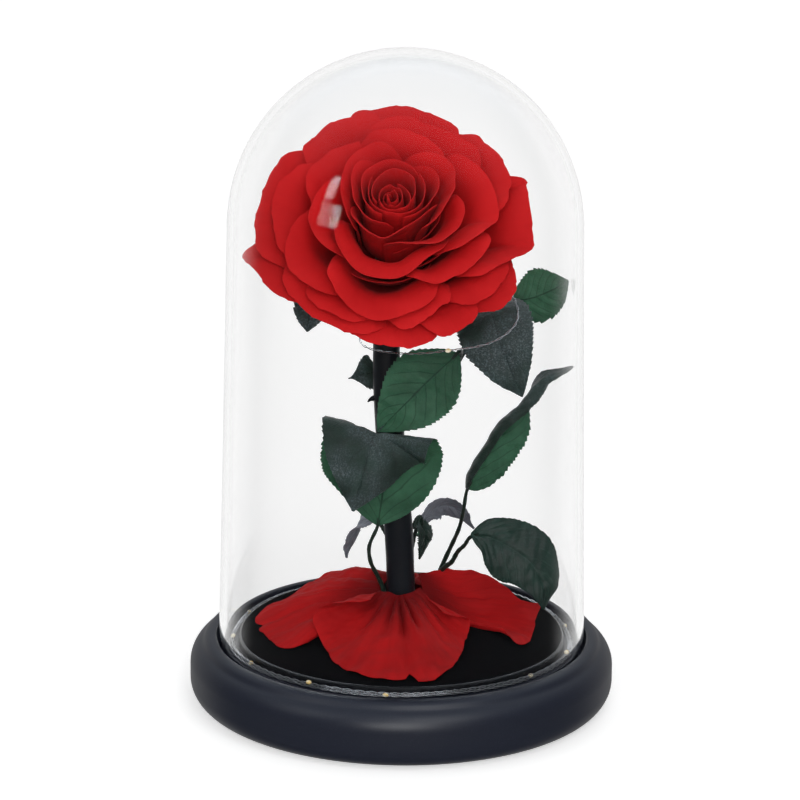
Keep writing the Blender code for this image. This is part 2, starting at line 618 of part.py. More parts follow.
def main():
    for old in list(bpy.data.objects):
        bpy.data.objects.remove(old)
    make_base(material("base_satin", (0.016, 0.018, 0.026), 0.42))
    make_battery_door(material("door_plastic", (0.02, 0.02, 0.024), 0.5))
    make_disc(material("disc_matte", (0.010, 0.010, 0.012), 0.75))
    make_dome(material("dome_glass", (1.0, 1.0, 1.0), 0.02, transmission=1.0))
    make_stem(material("stem_plastic", (0.012, 0.012, 0.016), 0.35))
    red = material("petal_red", (0.46, 0.012, 0.014), 0.6)
    make_bloom(red)
    green = material("leaf_green", (0.012, 0.040, 0.024), 0.45)
    make_calyx(green)
    for name, (root, heights, edge, bulge) in FOOT_PETALS.items():
        make_foot_petal(name, root, heights, edge, bulge, red)
    for name, (rib, half_width, sides, cup) in LEAVES.items():
        make_leaf(name, rib, half_width, sides, cup, green)
    make_light_wire(material("wire_silver", (0.7, 0.7, 0.7), 0.25, metallic=1.0))


main()
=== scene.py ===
import math

import bmesh
import bpy
import numpy as np
from mathutils import Matrix, Vector


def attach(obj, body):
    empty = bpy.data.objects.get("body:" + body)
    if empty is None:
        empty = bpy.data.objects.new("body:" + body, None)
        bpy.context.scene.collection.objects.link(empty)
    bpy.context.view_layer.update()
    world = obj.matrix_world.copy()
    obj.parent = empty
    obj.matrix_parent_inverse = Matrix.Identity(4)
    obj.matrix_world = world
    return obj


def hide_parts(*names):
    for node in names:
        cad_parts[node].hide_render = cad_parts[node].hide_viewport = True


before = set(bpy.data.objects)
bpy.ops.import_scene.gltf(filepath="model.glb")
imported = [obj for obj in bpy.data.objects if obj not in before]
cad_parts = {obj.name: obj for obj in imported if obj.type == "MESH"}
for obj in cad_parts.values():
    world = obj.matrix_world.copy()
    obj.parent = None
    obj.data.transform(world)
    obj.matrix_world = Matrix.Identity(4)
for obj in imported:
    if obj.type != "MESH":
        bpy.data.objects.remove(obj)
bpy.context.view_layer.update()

# Lengths below are in millimetres, as on the maker's bench; meshes and places are turned into metres.
mm = 0.001
print("frame loaded,", len(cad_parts), "solids")


# Small helpers for shapes

def smoothStep(value, low, high):
    t = np.clip((np.asarray(value, float) - low) / (high - low), 0.0, 1.0)
    return t * t * (3.0 - 2.0 * t)


def between(ends, share):
    return ends[0] + (ends[1] - ends[0]) * share


def unit(vectors):
    return vectors / np.maximum(np.linalg.norm(vectors, axis=-1, keepdims=True), 1e-9)


def crumple(points, size, seed):
    # soft unevenness of about -1 to 1, made of waves of this size in all directions
    draw = np.random.default_rng(seed)
    total = np.zeros(points.shape[:-1])
    for _ in range(9):
        way = unit(draw.normal(size=3)) * 2.0 * math.pi / size * draw.uniform(0.6, 1.5)
        total += np.sin(points @ way + draw.uniform(0.0, 2.0 * math.pi))
    return total / 3.0


def edgeWave(t, seed, turns):
    # slow unevenness along a lip, t from -1 to 1
    total = 0.0
    for k in range(4):
        total = total + np.sin(t * turns * (0.7 + 0.9 * k) + seed * (2.1 + 1.7 * k)) / (1.0 + 0.6 * k)
    return total / 2.2


def walked(line):
    # distance along the line at each of its points
    return np.concatenate([[0.0], np.cumsum(np.linalg.norm(np.diff(line, axis=0), axis=1))])


def lengthOf(line):
    return float(walked(line)[-1])


def evenPoints(line, count):
    run = walked(line)
    at = np.linspace(0.0, run[-1], count)
    return at, np.stack([np.interp(at, run, line[:, k]) for k in range(3)], axis=1)


def smoothRoute(route, count):
    # evenly spaced points on a smooth curve through the route's points
    pts = [np.array(p, float) for p in route]
    pts = [2 * pts[0] - pts[1]] + pts + [2 * pts[-1] - pts[-2]]
    fine = []
    for a, b, c, d in zip(pts, pts[1:], pts[2:], pts[3:]):
        t1 = max(np.linalg.norm(b - a), 1e-6) ** 0.5
        t2 = t1 + max(np.linalg.norm(c - b), 1e-6) ** 0.5
        t3 = t2 + max(np.linalg.norm(d - c), 1e-6) ** 0.5
        for t in np.linspace(t1, t2, 24, endpoint=False):
            ab = (t1 - t) / t1 * a + t / t1 * b
            bc = (t2 - t) / (t2 - t1) * b + (t - t1) / (t2 - t1) * c
            cd = (t3 - t) / (t3 - t2) * c + (t - t2) / (t3 - t2) * d
            abc = (t2 - t) / t2 * ab + t / t2 * bc
            bcd = (t3 - t) / (t3 - t1) * bc + (t - t1) / (t3 - t1) * cd
            fine.append((t2 - t) / (t2 - t1) * abc + (t - t1) / (t2 - t1) * bcd)
    fine.append(pts[-2])
    return evenPoints(np.array(fine), count)[1]


def arc(centre, radius, start, end, steps):
    made = []
    for k in range(steps + 1):
        angle = math.radians(start + (end - start) * k / steps)
        made.append((centre[0] + radius * math.cos(angle), centre[1] + radius * math.sin(angle)))
    return made


# A part of a piece is (points, faces, uvs, slots): slots gives each face's finish

def gridNormal(grid):
    return unit(np.cross(np.gradient(grid, axis=0), np.gradient(grid, axis=1)))


def quads(index, beyond):
    # four corners between a row of the index and the next; beyond is each one's neighbour in its row
    return np.stack([index[:-1], beyond[:-1], beyond[1:], index[1:]], axis=2).reshape(-1, 4)


def sheetPart(grid, thickness, top=0, under=0, thinLip=0.45):
    # a closed thin body with the grid of points as its middle, thinner along its free edges
    rows, columns = grid.shape[:2]
    normal = gridNormal(grid)
    half = np.full((rows, columns), thickness / 2.0)
    half[-1, :] *= thinLip
    half[:, 0] *= thinLip
    half[:, -1] *= thinLip
    points = np.concatenate([(grid + normal * half[..., None]).reshape(-1, 3),
                             (grid - normal * half[..., None]).reshape(-1, 3)])
    v, u = np.meshgrid(np.linspace(0.0, 1.0, rows), np.linspace(0.0, 1.0, columns), indexing="ij")
    uvs = np.stack([u, v], axis=2).reshape(-1, 2)
    uvs = np.concatenate([uvs, uvs])
    lower = rows * columns
    index = np.arange(lower).reshape(rows, columns)
    front = quads(index[:, :-1], index[:, 1:])[:, (1, 2, 3, 0)]
    back = front[:, ::-1] + lower
    rim = [index[0, k] for k in range(columns)]
    rim += [index[k, -1] for k in range(1, rows)]
    rim += [index[-1, k] for k in range(columns - 2, -1, -1)]
    rim += [index[k, 0] for k in range(rows - 2, 0, -1)]
    sides = [(q, p, lower + p, lower + q) for p, q in zip(rim, rim[1:] + rim[:1])]
    faces = front.tolist() + back.tolist() + [tuple(int(k) for k in f) for f in sides]
    slots = [top] * len(front) + [under] * len(back) + [top] * len(sides)
    return points, faces, uvs, slots


def tubePart(points, radii, sides, slot=0):
    # a closed tube along the points, its sections turned as little as possible
    points = np.asarray(points, float)
    tangent = unit(np.gradient(points, axis=0))
    first = np.cross(tangent[0], (0.0, 1.0, 0.03))
    rings = []
    for point, way, radius in zip(points, tangent, radii):
        first = first - way * np.dot(first, way)
        first = first / np.linalg.norm(first)
        second = np.cross(way, first)
        turn = 2.0 * math.pi * np.arange(sides) / sides
        rings.append(point + radius * (np.outer(np.cos(turn), first) + np.outer(np.sin(turn), second)))
    count = len(points)
    ring = np.arange(count * sides).reshape(count, sides)
    faces = quads(ring, np.roll(ring, -1, axis=1)).tolist()
    faces += [tuple(ring[0][::-1].tolist()), tuple(ring[-1].tolist())]
    u, v = np.meshgrid(np.arange(sides) / sides, np.linspace(0.0, 1.0, count))
    uvs = np.stack([u, v], axis=2).reshape(-1, 2)
    return np.concatenate(rings), faces, uvs, [slot] * len(faces)


def turnedPart(profile, segments, shape=None, slotOf=None):
    # a closed profile of (radius, height) turned about Z; shape(radius, height, angle) may place its points
    points, rings, uvs = [], [], []
    for row, (radius, height) in enumerate(profile):
        around = 1 if radius < 1e-6 else segments
        rings.append([len(points) + i % around for i in range(segments)])
        for i in range(around):
            angle = 2.0 * math.pi * i / segments
            if shape:
                points.append(tuple(shape(radius, height, angle)))
            else:
                points.append((radius * math.cos(angle), radius * math.sin(angle), height))
            uvs.append((i / segments, row / len(profile)))
    faces, slots = [], []
    for band, (low, high) in enumerate(zip(rings, rings[1:] + rings[:1])):
        for i in range(segments):
            j = (i + 1) % segments
            corners = [low[i], low[j], high[j], high[i]]
            face = [c for n, c in enumerate(corners) if c != corners[n - 1]]
            if len(face) > 2:
                faces.append(face)
                slots.append(slotOf(band) if slotOf else 0)
    return np.array(points, float), faces, np.array(uvs, float), slots


finishes = {}   # every finish by its name


def newPiece(name, parts, finishNames, sharp):
    # one mesh object from parts in millimetres, shaded smooth, its faces turned outwards;
    # edges over this many degrees stay sharp
    points, faces, uvs, slots = [], [], [], []
    count = 0
    for partPoints, partFaces, partUvs, partSlots in parts:
        points.append(partPoints)
        uvs.append(partUvs)
        faces += [[corner + count for corner in face] for face in partFaces]
        slots += partSlots
        count += len(partPoints)
    mesh = bpy.data.meshes.new(name)
    mesh.from_pydata((np.concatenate(points) * mm).tolist(), [], faces)
    mesh.polygons.foreach_set("material_index", slots)
    uvs = np.concatenate(uvs)
    corners = np.zeros(len(mesh.loops), np.int32)
    mesh.loops.foreach_get("vertex_index", corners)
    mesh.uv_layers.new(name="UVMap").data.foreach_set("uv", uvs[corners].astype(np.float32).ravel())
    work = bmesh.new()
    work.from_mesh(mesh)
    bmesh.ops.recalc_face_normals(work, faces=work.faces)
    work.to_mesh(mesh)
    work.free()
    mesh.shade_smooth()
    mesh.set_sharp_from_angle(angle=math.radians(sharp))
    for finishName in finishNames:
        mesh.materials.append(finishes[finishName])
    piece = bpy.data.objects.new(name, mesh)
    bpy.context.scene.collection.objects.link(piece)
    return piece


def place(piece, slot, *nodes):
    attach(piece, "root")
    if nodes:
        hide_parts(*nodes)
    return piece


# Small helpers for materials

def feed(tree, socket, value):
    # links a socket or sets its value; colours are given as plain red, green and blue
    if isinstance(value, bpy.types.NodeSocket):
        tree.links.new(value, socket)
    else:
        socket.default_value = (*value, 1.0) if isinstance(value, tuple) else value


def newFinish(name, roughness, specular, plain=None):
    finish = bpy.data.materials.new(name)
    finish.use_nodes = True
    shader = finish.node_tree.nodes["Principled BSDF"]
    shader.inputs["Roughness"].default_value = roughness
    shader.inputs["Specular IOR Level"].default_value = specular
    for label, value in (plain or {}).items():
        feed(finish.node_tree, shader.inputs[label], value)
    finishes[name] = finish
    return finish.node_tree, shader


def newGroup(name, colours, numbers):
    # a shared effect: it takes these and puts out a colour, a roughness and a height for relief
    group = bpy.data.node_groups.new(name, "ShaderNodeTree")
    for way, kind, labels in (("INPUT", "NodeSocketColor", colours), ("INPUT", "NodeSocketFloat", numbers),
                              ("OUTPUT", "NodeSocketColor", ("Colour",)),
                              ("OUTPUT", "NodeSocketFloat", ("Roughness", "Height"))):
        for label in labels:
            group.interface.new_socket(label, in_out=way, socket_type=kind)
    return group, group.nodes.new("NodeGroupInput").outputs, group.nodes.new("NodeGroupOutput").inputs


def useGroup(tree, group, values):
    node = tree.nodes.new("ShaderNodeGroup")
    node.node_tree = group
    for label, value in values.items():
        feed(tree, node.inputs[label], value)
    return node.outputs


def calc(tree, operation, a, b=0.0):
    node = tree.nodes.new("ShaderNodeMath")
    node.operation = operation
    feed(tree, node.inputs[0], a)
    feed(tree, node.inputs[1], b)
    return node.outputs[0]


def times(tree, a, b):
    return calc(tree, "MULTIPLY", a, b)


def remap(tree, value, low, high, toLow=0.0, toHigh=1.0):
    node = tree.nodes.new("ShaderNodeMapRange")
    node.interpolation_type = "SMOOTHSTEP"
    for label, given in (("Value", value), ("From Min", low), ("From Max", high),
                         ("To Min", toLow), ("To Max", toHigh)):
        feed(tree, node.inputs[label], given)
    return node.outputs["Result"]


def blendColour(tree, factor, a, b):
    node = tree.nodes.new("ShaderNodeMix")
    node.data_type = "RGBA"
    # a mix node has its colours at sockets 6 and 7 and puts out at 2
    for socket, value in ((0, factor), (6, a), (7, b)):
        feed(tree, node.inputs[socket], value)
    return node.outputs[2]


def cloud(tree, vector, scale, detail=2.0, roughness=0.5):
    node = tree.nodes.new("ShaderNodeTexNoise")
    feed(tree, node.inputs["Vector"], vector)
    feed(tree, node.inputs["Scale"], scale)
    node.inputs["Detail"].default_value = detail
    node.inputs["Roughness"].default_value = roughness
    return node.outputs["Fac"]


def coords(tree, which="Object"):
    return tree.nodes.new("ShaderNodeTexCoord").outputs[which]


def stretched(tree, vector, scale):
    node = tree.nodes.new("ShaderNodeMapping")
    tree.links.new(vector, node.inputs["Vector"])
    node.inputs["Scale"].default_value = scale
    return node.outputs["Vector"]


def split(tree, vector):
    node = tree.nodes.new("ShaderNodeSeparateXYZ")
    tree.links.new(vector, node.inputs[0])
    return node.outputs


def hideWhere(tree, shader, factor):
    # the surface is clear for the rays that the factor picks
    clear = tree.nodes.new("ShaderNodeBsdfTransparent")
    mix = tree.nodes.new("ShaderNodeMixShader")
    tree.links.new(factor, mix.inputs[0])
    tree.links.new(shader.outputs[0], mix.inputs[1])
    tree.links.new(clear.outputs[0], mix.inputs[2])
    tree.links.new(mix.outputs[0], tree.nodes["Material Output"].inputs["Surface"])


# Shared effects

def makePetalVelvet():
    group, given, out = newGroup("petalVelvet", ("Painted Shade And Vein", "Face", "Lip Highlight"), ("Streaks",))
    spot, sheet = coords(group), coords(group, "UV")
    along = split(group, sheet)[1]
    # painted shade: the colour darkens from the petal's face down to its root, deep in the bloom
    colour = blendColour(group, remap(group, along, 0.04, 0.58), given["Painted Shade And Vein"], given["Face"])
    # painted highlight: the lip is brighter, unevenly
    uneven = remap(group, cloud(group, spot, 90.0, 3.0), 0.25, 0.65, 0.55, 1.0)
    colour = blendColour(group, times(group, remap(group, along, 0.80, 1.0), uneven), colour, given["Lip Highlight"])
    # fine veins run along the petal and fan out with it
    streaks = cloud(group, stretched(group, sheet, (46.0, 2.4, 1.0)), 1.0, 3.0, 0.6)
    darker = times(group, remap(group, streaks, 0.35, 0.62), given["Streaks"])
    colour = blendColour(group, darker, colour, given["Painted Shade And Vein"])
    # slow patches, a little darker
    patch = cloud(group, spot, 38.0, 2.0)
    colour = blendColour(group, remap(group, patch, 0.35, 0.75, 0.0, 0.30), colour, given["Painted Shade And Vein"])
    grain = times(group, cloud(group, spot, 2600.0, 2.0), 0.35)
    group.links.new(colour, out["Colour"])
    group.links.new(remap(group, patch, 0.2, 0.8, 0.62, 0.80), out["Roughness"])
    group.links.new(calc(group, "ADD", times(group, streaks, 0.4), grain), out["Height"])
    return group


def makeLeafVeins():
    group, given, out = newGroup("leafVeins", ("Blade", "Patch", "Vein"),
                                 ("Gloss", "Painted Sheen", "Fine Size", "Fine Depth"))
    spot = coords(group)
    across, along, _ = split(group, coords(group, "UV"))
    off = calc(group, "ABSOLUTE", calc(group, "SUBTRACT", across, 0.5))
    midrib = remap(group, off, 0.006, 0.022, 1.0, 0.0)
    wander = times(group, cloud(group, spot, 70.0, 2.0), 0.10)
    # side veins leave the midrib slanting forwards and bend towards the tip
    slant = calc(group, "SUBTRACT", along, times(group, calc(group, "POWER", off, 1.25), 0.75))
    pairs = 8.0
    step = calc(group, "FRACT", times(group, calc(group, "ADD", slant, wander), pairs))
    apart = calc(group, "ABSOLUTE", calc(group, "SUBTRACT", step, 0.5))
    side = times(group, remap(group, apart, 0.02, 0.085, 1.0, 0.0), remap(group, off, 0.36, 0.48, 1.0, 0.0))
    veins = calc(group, "MAXIMUM", midrib, times(group, side, 0.6))
    cells = group.nodes.new("ShaderNodeTexVoronoi")
    cells.feature = "DISTANCE_TO_EDGE"
    group.links.new(spot, cells.inputs["Vector"])
    group.links.new(given["Fine Size"], cells.inputs["Scale"])
    fine = times(group, remap(group, cells.outputs["Distance"], 0.0, 0.25), given["Fine Depth"])
    patch = remap(group, cloud(group, spot, 60.0, 4.0, 0.6), 0.35, 0.70)
    colour = blendColour(group, patch, given["Blade"], given["Patch"])
    colour = blendColour(group, times(group, veins, 0.75), colour, given["Vein"])
    # painted sheen: grey-blue points, in patches, stand in for light glinting off the blade
    paintedSheen = times(group, remap(group, cloud(group, spot, 48.0, 2.0), 0.42, 0.60), given["Painted Sheen"])
    points = remap(group, cloud(group, spot, 1900.0, 2.0), 0.47, 0.66)
    points = times(group, calc(group, "ADD", points, 0.35), paintedSheen)
    group.links.new(blendColour(group, points, colour, (0.13, 0.17, 0.19)), out["Colour"])
    # the blade swells between its veins
    height = calc(group, "ADD", fine, times(group, apart, 1.2))
    group.links.new(calc(group, "SUBTRACT", height, times(group, veins, 0.8)), out["Height"])
    worn = remap(group, remap(group, cloud(group, spot, 420.0, 3.0), 0.3, 0.7), 0.0, 1.0, -0.03, 0.05)
    group.links.new(calc(group, "ADD", given["Gloss"], worn), out["Roughness"])
    return group


def makeFineGrain():
    group, given, out = newGroup("fineGrain", ("Colour", "Dust"), ("Size", "Dusting", "Gloss"))
    grain = cloud(group, coords(group), given["Size"], 3.0, 0.6)
    patch = cloud(group, coords(group), 26.0, 3.0, 0.55)
    dust = times(group, remap(group, grain, 0.52, 0.75), given["Dusting"])
    group.links.new(blendColour(group, dust, given["Colour"], given["Dust"]), out["Colour"])
    uneven = times(group, calc(group, "SUBTRACT", patch, 0.5), 0.16)
    group.links.new(calc(group, "ADD", given["Gloss"], uneven), out["Roughness"])
    group.links.new(grain, out["Height"])
    return group


petalVelvet = makePetalVelvet()
leafVeins = makeLeafVeins()
fineGrain = makeFineGrain()


# Finishes of the flower and the base: the effect and its values, how strong its relief is and how deep in
# millimetres

petalSheen = {"Sheen Weight": 0.05, "Sheen Roughness": 0.45, "Sheen Tint": (1.0, 0.25, 0.25)}

surfaces = {
    # the petals' root colour paints shade deep in the bloom and also colours their veins and patches; their
    # lip colour is a painted highlight
    "petalRed": {"effect": petalVelvet, "specular": 0.09, "relief": 0.35, "depth": 0.10, "plain": petalSheen,
        "values": {"Painted Shade And Vein": (0.33, 0.0036, 0.0052), "Face": (0.48, 0.0078, 0.0095),
            "Lip Highlight": (0.55, 0.0115, 0.0135), "Streaks": 0.12}},
    "petalFallen": {"effect": petalVelvet, "specular": 0.09, "relief": 0.35, "depth": 0.10,
        "plain": petalSheen,
        "values": {"Painted Shade And Vein": (0.13, 0.0020, 0.0030), "Face": (0.40, 0.0062, 0.0075),
            "Lip Highlight": (0.44, 0.0080, 0.0095), "Streaks": 0.20}},
    # painted sheen: the glossy leaf finishes paint grey-blue glints into their colour, most on the worn face
    "leafUpper": {"effect": leafVeins, "specular": 0.66, "relief": 0.60, "depth": 0.35,
        "values": {"Blade": (0.0035, 0.0145, 0.0100), "Patch": (0.009, 0.030, 0.021),
            "Vein": (0.004, 0.012, 0.009), "Gloss": 0.36, "Fine Depth": 0.55, "Fine Size": 2000.0,
            "Painted Sheen": 0.42}},
    "leafSmooth": {"effect": leafVeins, "specular": 0.42, "relief": 0.30, "depth": 0.35,
        "values": {"Blade": (0.0045, 0.0190, 0.0130), "Patch": (0.009, 0.034, 0.024),
            "Vein": (0.016, 0.042, 0.031), "Gloss": 0.40, "Fine Depth": 0.20, "Fine Size": 1200.0,
            "Painted Sheen": 0.05}},
    # painted sheen: a grey-blue copy of the leaf colour, as if the blade caught light from above
    "leafPaintedSheen": {"effect": leafVeins, "specular": 0.40, "relief": 0.50, "depth": 0.35,
        "values": {"Blade": (0.160, 0.178, 0.210), "Patch": (0.220, 0.240, 0.280),
            "Vein": (0.130, 0.145, 0.170), "Gloss": 0.50, "Fine Depth": 0.30, "Fine Size": 900.0,
            "Painted Sheen": 0.0}},
    "leafUnder": {"effect": leafVeins, "specular": 0.25, "relief": 0.55, "depth": 0.35,
        "values": {"Blade": (0.017, 0.066, 0.035), "Patch": (0.036, 0.122, 0.066),
            "Vein": (0.007, 0.026, 0.017), "Gloss": 0.58, "Fine Depth": 0.25, "Fine Size": 900.0,
            "Painted Sheen": 0.0}},
    "stalkGreen": {"effect": fineGrain, "specular": 0.40, "relief": 0.40, "depth": 0.08,
        "values": {"Colour": (0.008, 0.020, 0.014), "Dust": (0.03, 0.02, 0.015),
            "Size": 900.0, "Dusting": 0.5, "Gloss": 0.42}},
    "stemBlack": {"effect": fineGrain, "specular": 0.25, "relief": 0.15, "depth": 0.04,
        "values": {"Colour": (0.0060, 0.0076, 0.0105), "Dust": (0.014, 0.016, 0.022),
            "Size": 1400.0, "Dusting": 0.3, "Gloss": 0.40}},
    "baseSatin": {"effect": fineGrain, "specular": 0.40, "relief": 0.25, "depth": 0.03,
        "values": {"Colour": (0.0100, 0.0125, 0.0230), "Dust": (0.024, 0.028, 0.042),
            "Size": 2600.0, "Dusting": 0.6, "Gloss": 0.38}},
    "discMatte": {"effect": fineGrain, "specular": 0.05, "relief": 0.50, "depth": 0.05,
        "values": {"Colour": (0.0030, 0.0034, 0.0045), "Dust": (0.010, 0.011, 0.014),
            "Size": 3200.0, "Dusting": 0.5, "Gloss": 0.88}},
    "discGloss": {"effect": fineGrain, "specular": 0.45, "relief": 0.05, "depth": 0.02,
        "values": {"Colour": (0.0040, 0.0045, 0.0060), "Dust": (0.010, 0.011, 0.014),
            "Size": 900.0, "Dusting": 0.2, "Gloss": 0.22}},
    "doorPlastic": {"effect": fineGrain, "specular": 0.35, "relief": 0.50, "depth": 0.05,
        "values": {"Colour": (0.010, 0.0105, 0.012), "Dust": (0.020, 0.021, 0.024),
            "Size": 1800.0, "Dusting": 0.5, "Gloss": 0.52}},
}


def makeFinish(name, given):
    tree, shader = newFinish(name, given["values"].get("Gloss", 0.7), given["specular"], given.get("plain"))
    effect = useGroup(tree, given["effect"], given["values"])
    tree.links.new(effect["Colour"], shader.inputs["Base Color"])
    tree.links.new(effect["Roughness"], shader.inputs["Roughness"])
    bump = tree.nodes.new("ShaderNodeBump")
    bump.inputs["Strength"].default_value = given["relief"]
    bump.inputs["Distance"].default_value = given["depth"] * mm
    tree.links.new(effect["Height"], bump.inputs["Height"])
    tree.links.new(bump.outputs["Normal"], shader.inputs["Normal"])


for name, given in surfaces.items():
    makeFinish(name, given)
print("finishes made")


# Camera and lights

view = {
    "target": (0.0, 0.0, 110.0),
    "distance": 2200.0,
    "elevation": 17.9,
    "roll": 0.55,
    "lens": 302.02,
    "sensor": 36.0,
    "reach": (0.1, 20.0),      # in metres
    "shift": (-0.0049, -0.0202),
}


def makeCamera():
    lens = bpy.data.cameras.new("roseCamera")
    lens.sensor_width = view["sensor"]
    lens.lens = view["lens"]
    lens.clip_start, lens.clip_end = view["reach"]
    lens.shift_x, lens.shift_y = view["shift"]
    camera = bpy.data.objects.new("roseCamera", lens)
    rise = math.radians(view["elevation"])
    back = Vector((0.0, -math.cos(rise), math.sin(rise)))
    right = Vector((1.0, 0.0, 0.0))
    facing = Matrix((right, back.cross(right), back)).transposed()
    facing = facing @ Matrix.Rotation(math.radians(view["roll"]), 3, "Z")
    stand = (Vector(view["target"]) + back * view["distance"]) * mm
    camera.matrix_world = Matrix.Translation(stand) @ facing.to_4x4()
    bpy.context.scene.collection.objects.link(camera)
    bpy.context.scene.camera = camera


# Ranges of turn run from 0 at the object's sides to 1 straight behind it, and ranges of rise from 0 at
# the horizon to 1 overhead
studio = {
    "overhead": 0.30,
    "sweep": 0.70,             # strength of the pale sweep at floor level
    "sweepRise": (0.10, 0.60),
    "backdrop": 1.0,           # what the camera sees past the floor, also through the glass
    # what glossy surfaces mirror: dark in front, a pale sweep behind and a cool panel overhead
    "mirrorFront": 0.06,
    "mirrorBack": 1.0,
    "satinBack": 0.42,         # the sweep behind as satin surfaces mirror it
    "mirrorTop": 0.62,
    "backTurn": (0.28, 0.70),
    "topRise": (0.40, 0.80),
    "coolRise": (0.20, 0.60),
    "coolColour": (0.84, 0.92, 1.0),
    "floorSize": 9000.0,
    "floorColour": (0.93, 0.93, 0.93),
    "floorDark": 0.985,        # share of the colour in the floor's darker patches
    "floorGlow": 0.54,
    # softboxes by azimuth right of the camera, elevation, side and power
    "softboxes": {
        "keySoftbox": (22.0, 46.0, 1500.0, 16.0),
        "frontSoftbox": (0.0, 20.0, 1300.0, 34.0),
        "leftSoftbox": (-62.0, 38.0, 1500.0, 6.0),
        "backSoftbox": (165.0, 60.0, 1500.0, 7.0),
    },
    "distance": 3000.0,
    "aim": (0.0, 0.0, 120.0),
    # a tall window far to the left, seen only as its mirror image in the glass: azimuth and elevation,
    # then a pane's width and height and the bar between panes, all at a distance of 1
    "windowWay": (-52.6, 24.0),
    "windowPane": (0.108, 0.247),
    "windowBar": 0.040,
    "windowBlur": 0.003,
    "windowBright": 60.0,
    "windowDim": 26.0,         # a blind dims one pane and covers another
}


def wayTo(azimuth, elevation):
    # direction from the object to a lamp, azimuth in degrees right of the camera
    turn, rise = math.radians(azimuth), math.radians(elevation)
    return Vector((math.sin(turn) * math.cos(rise), -math.cos(turn) * math.cos(rise), math.sin(rise)))


def makeSoftbox(name, azimuth, elevation, side, power):
    lamp = bpy.data.lights.new(name, "AREA")
    lamp.shape = "RECTANGLE"
    lamp.size = lamp.size_y = side * mm
    lamp.energy = power
    holder = bpy.data.objects.new(name, lamp)
    way = wayTo(azimuth, elevation) * studio["distance"]
    holder.location = (Vector(studio["aim"]) + way) * mm
    holder.rotation_euler = (-way).to_track_quat("-Z", "Y").to_euler()
    bpy.context.scene.collection.objects.link(holder)
    return holder


def alongWay(tree, vector, way):
    node = tree.nodes.new("ShaderNodeVectorMath")
    node.operation = "DOT_PRODUCT"
    tree.links.new(vector, node.inputs[0])
    node.inputs[1].default_value = way
    return node.outputs["Value"]


def windowPanes(sky, direction, rays):
    # strength of the window by direction, only for the sharp mirror image in the glass
    way = wayTo(*studio["windowWay"])
    right = Vector((0.0, 0.0, 1.0)).cross(way).normalized()
    facing = calc(sky, "MAXIMUM", alongWay(sky, direction, way), 0.05)
    x = calc(sky, "DIVIDE", alongWay(sky, direction, right), facing)
    y = calc(sky, "DIVIDE", alongWay(sky, direction, way.cross(right)), facing)
    seen = times(sky, rays["Is Reflection Ray"], rays["Is Singular Ray"])
    bar, blur = studio["windowBar"] / 2.0, studio["windowBlur"]
    for off, pane in zip((x, y), studio["windowPane"]):
        far, edge = calc(sky, "ABSOLUTE", off), bar + pane
        seen = times(sky, seen, remap(sky, far, bar - blur, bar + blur))
        seen = times(sky, seen, remap(sky, far, edge - 2.0 * blur, edge + 2.0 * blur, 1.0, 0.0))
    left, upper = calc(sky, "GREATER_THAN", x, 0.0), calc(sky, "GREATER_THAN", y, 0.0)
    top = remap(sky, left, 0.0, 1.0, studio["windowBright"], 0.0)
    low = remap(sky, left, 0.0, 1.0, studio["windowDim"], studio["windowBright"])
    return times(sky, seen, remap(sky, upper, 0.0, 1.0, low, top))


def glossyRays(tree):
    return remap(tree, tree.nodes.new("ShaderNodeLightPath").outputs["Glossy Depth"], 0.2, 0.8)


def makeSky():
    world = bpy.data.worlds.new("studioWorld")
    bpy.context.scene.world = world
    world.use_nodes = True
    sky = world.node_tree
    direction = coords(sky, "Generated")
    _, behind, height = split(sky, direction)
    rays = sky.nodes.new("ShaderNodeLightPath").outputs
    # a pale sweep that is brightest low down and softer overhead
    soft = remap(sky, height, *studio["sweepRise"], studio["sweep"], studio["overhead"])
    direct = calc(sky, "MAXIMUM", rays["Is Camera Ray"], rays["Is Transmission Ray"])
    soft = remap(sky, direct, 0.0, 1.0, soft, studio["backdrop"])
    # the sweep is brighter in the glass than in satin surfaces
    back = remap(sky, rays["Is Singular Ray"], 0.0, 1.0, studio["satinBack"], studio["mirrorBack"])
    mirrored = calc(sky, "ADD", remap(sky, behind, *studio["backTurn"], studio["mirrorFront"], back),
                    remap(sky, height, *studio["topRise"], 0.0, studio["mirrorTop"]))
    mirrored = calc(sky, "ADD", mirrored, windowPanes(sky, direction, rays))
    glossy = glossyRays(sky)
    background = sky.nodes["Background"].inputs
    feed(sky, background["Strength"], remap(sky, glossy, 0.0, 1.0, soft, mirrored))
    cool = times(sky, glossy, remap(sky, height, *studio["coolRise"]))
    feed(sky, background["Color"], blendColour(sky, cool, (1.0, 1.0, 1.0), studio["coolColour"]))
    bpy.context.scene.view_settings.view_transform = "Standard"


def makeFloor():
    half = studio["floorSize"] / 2.0 * mm
    corners = [(-half, -half, 0.0), (half, -half, 0.0), (half, half, 0.0), (-half, half, 0.0)]
    mesh = bpy.data.meshes.new("studioFloor")
    mesh.from_pydata(corners, [], [(0, 1, 2, 3)])
    floor = bpy.data.objects.new("studioFloor", mesh)
    bpy.context.scene.collection.objects.link(floor)
    tree, shader = newFinish("paleFloor", 0.85, 0.1, {"Emission Strength": studio["floorGlow"]})
    pale = studio["floorColour"]
    dark = tuple(c * studio["floorDark"] for c in pale)
    tint = blendColour(tree, cloud(tree, coords(tree), 3.0, 2.0), pale, dark)
    tree.links.new(tint, shader.inputs["Base Color"])
    tree.links.new(tint, shader.inputs["Emission Color"])
    # mirrors see past the floor
    hideWhere(tree, shader, glossyRays(tree))
    mesh.materials.append(finishes["paleFloor"])


makeCamera()
makeSky()
softboxes = [makeSoftbox(name, *given) for name, given in studio["softboxes"].items()]
makeFloor()
print("camera and studio made")


# Light wire: one twisted pair from its hole in the ledge, three turns, then up the stem and round the neck

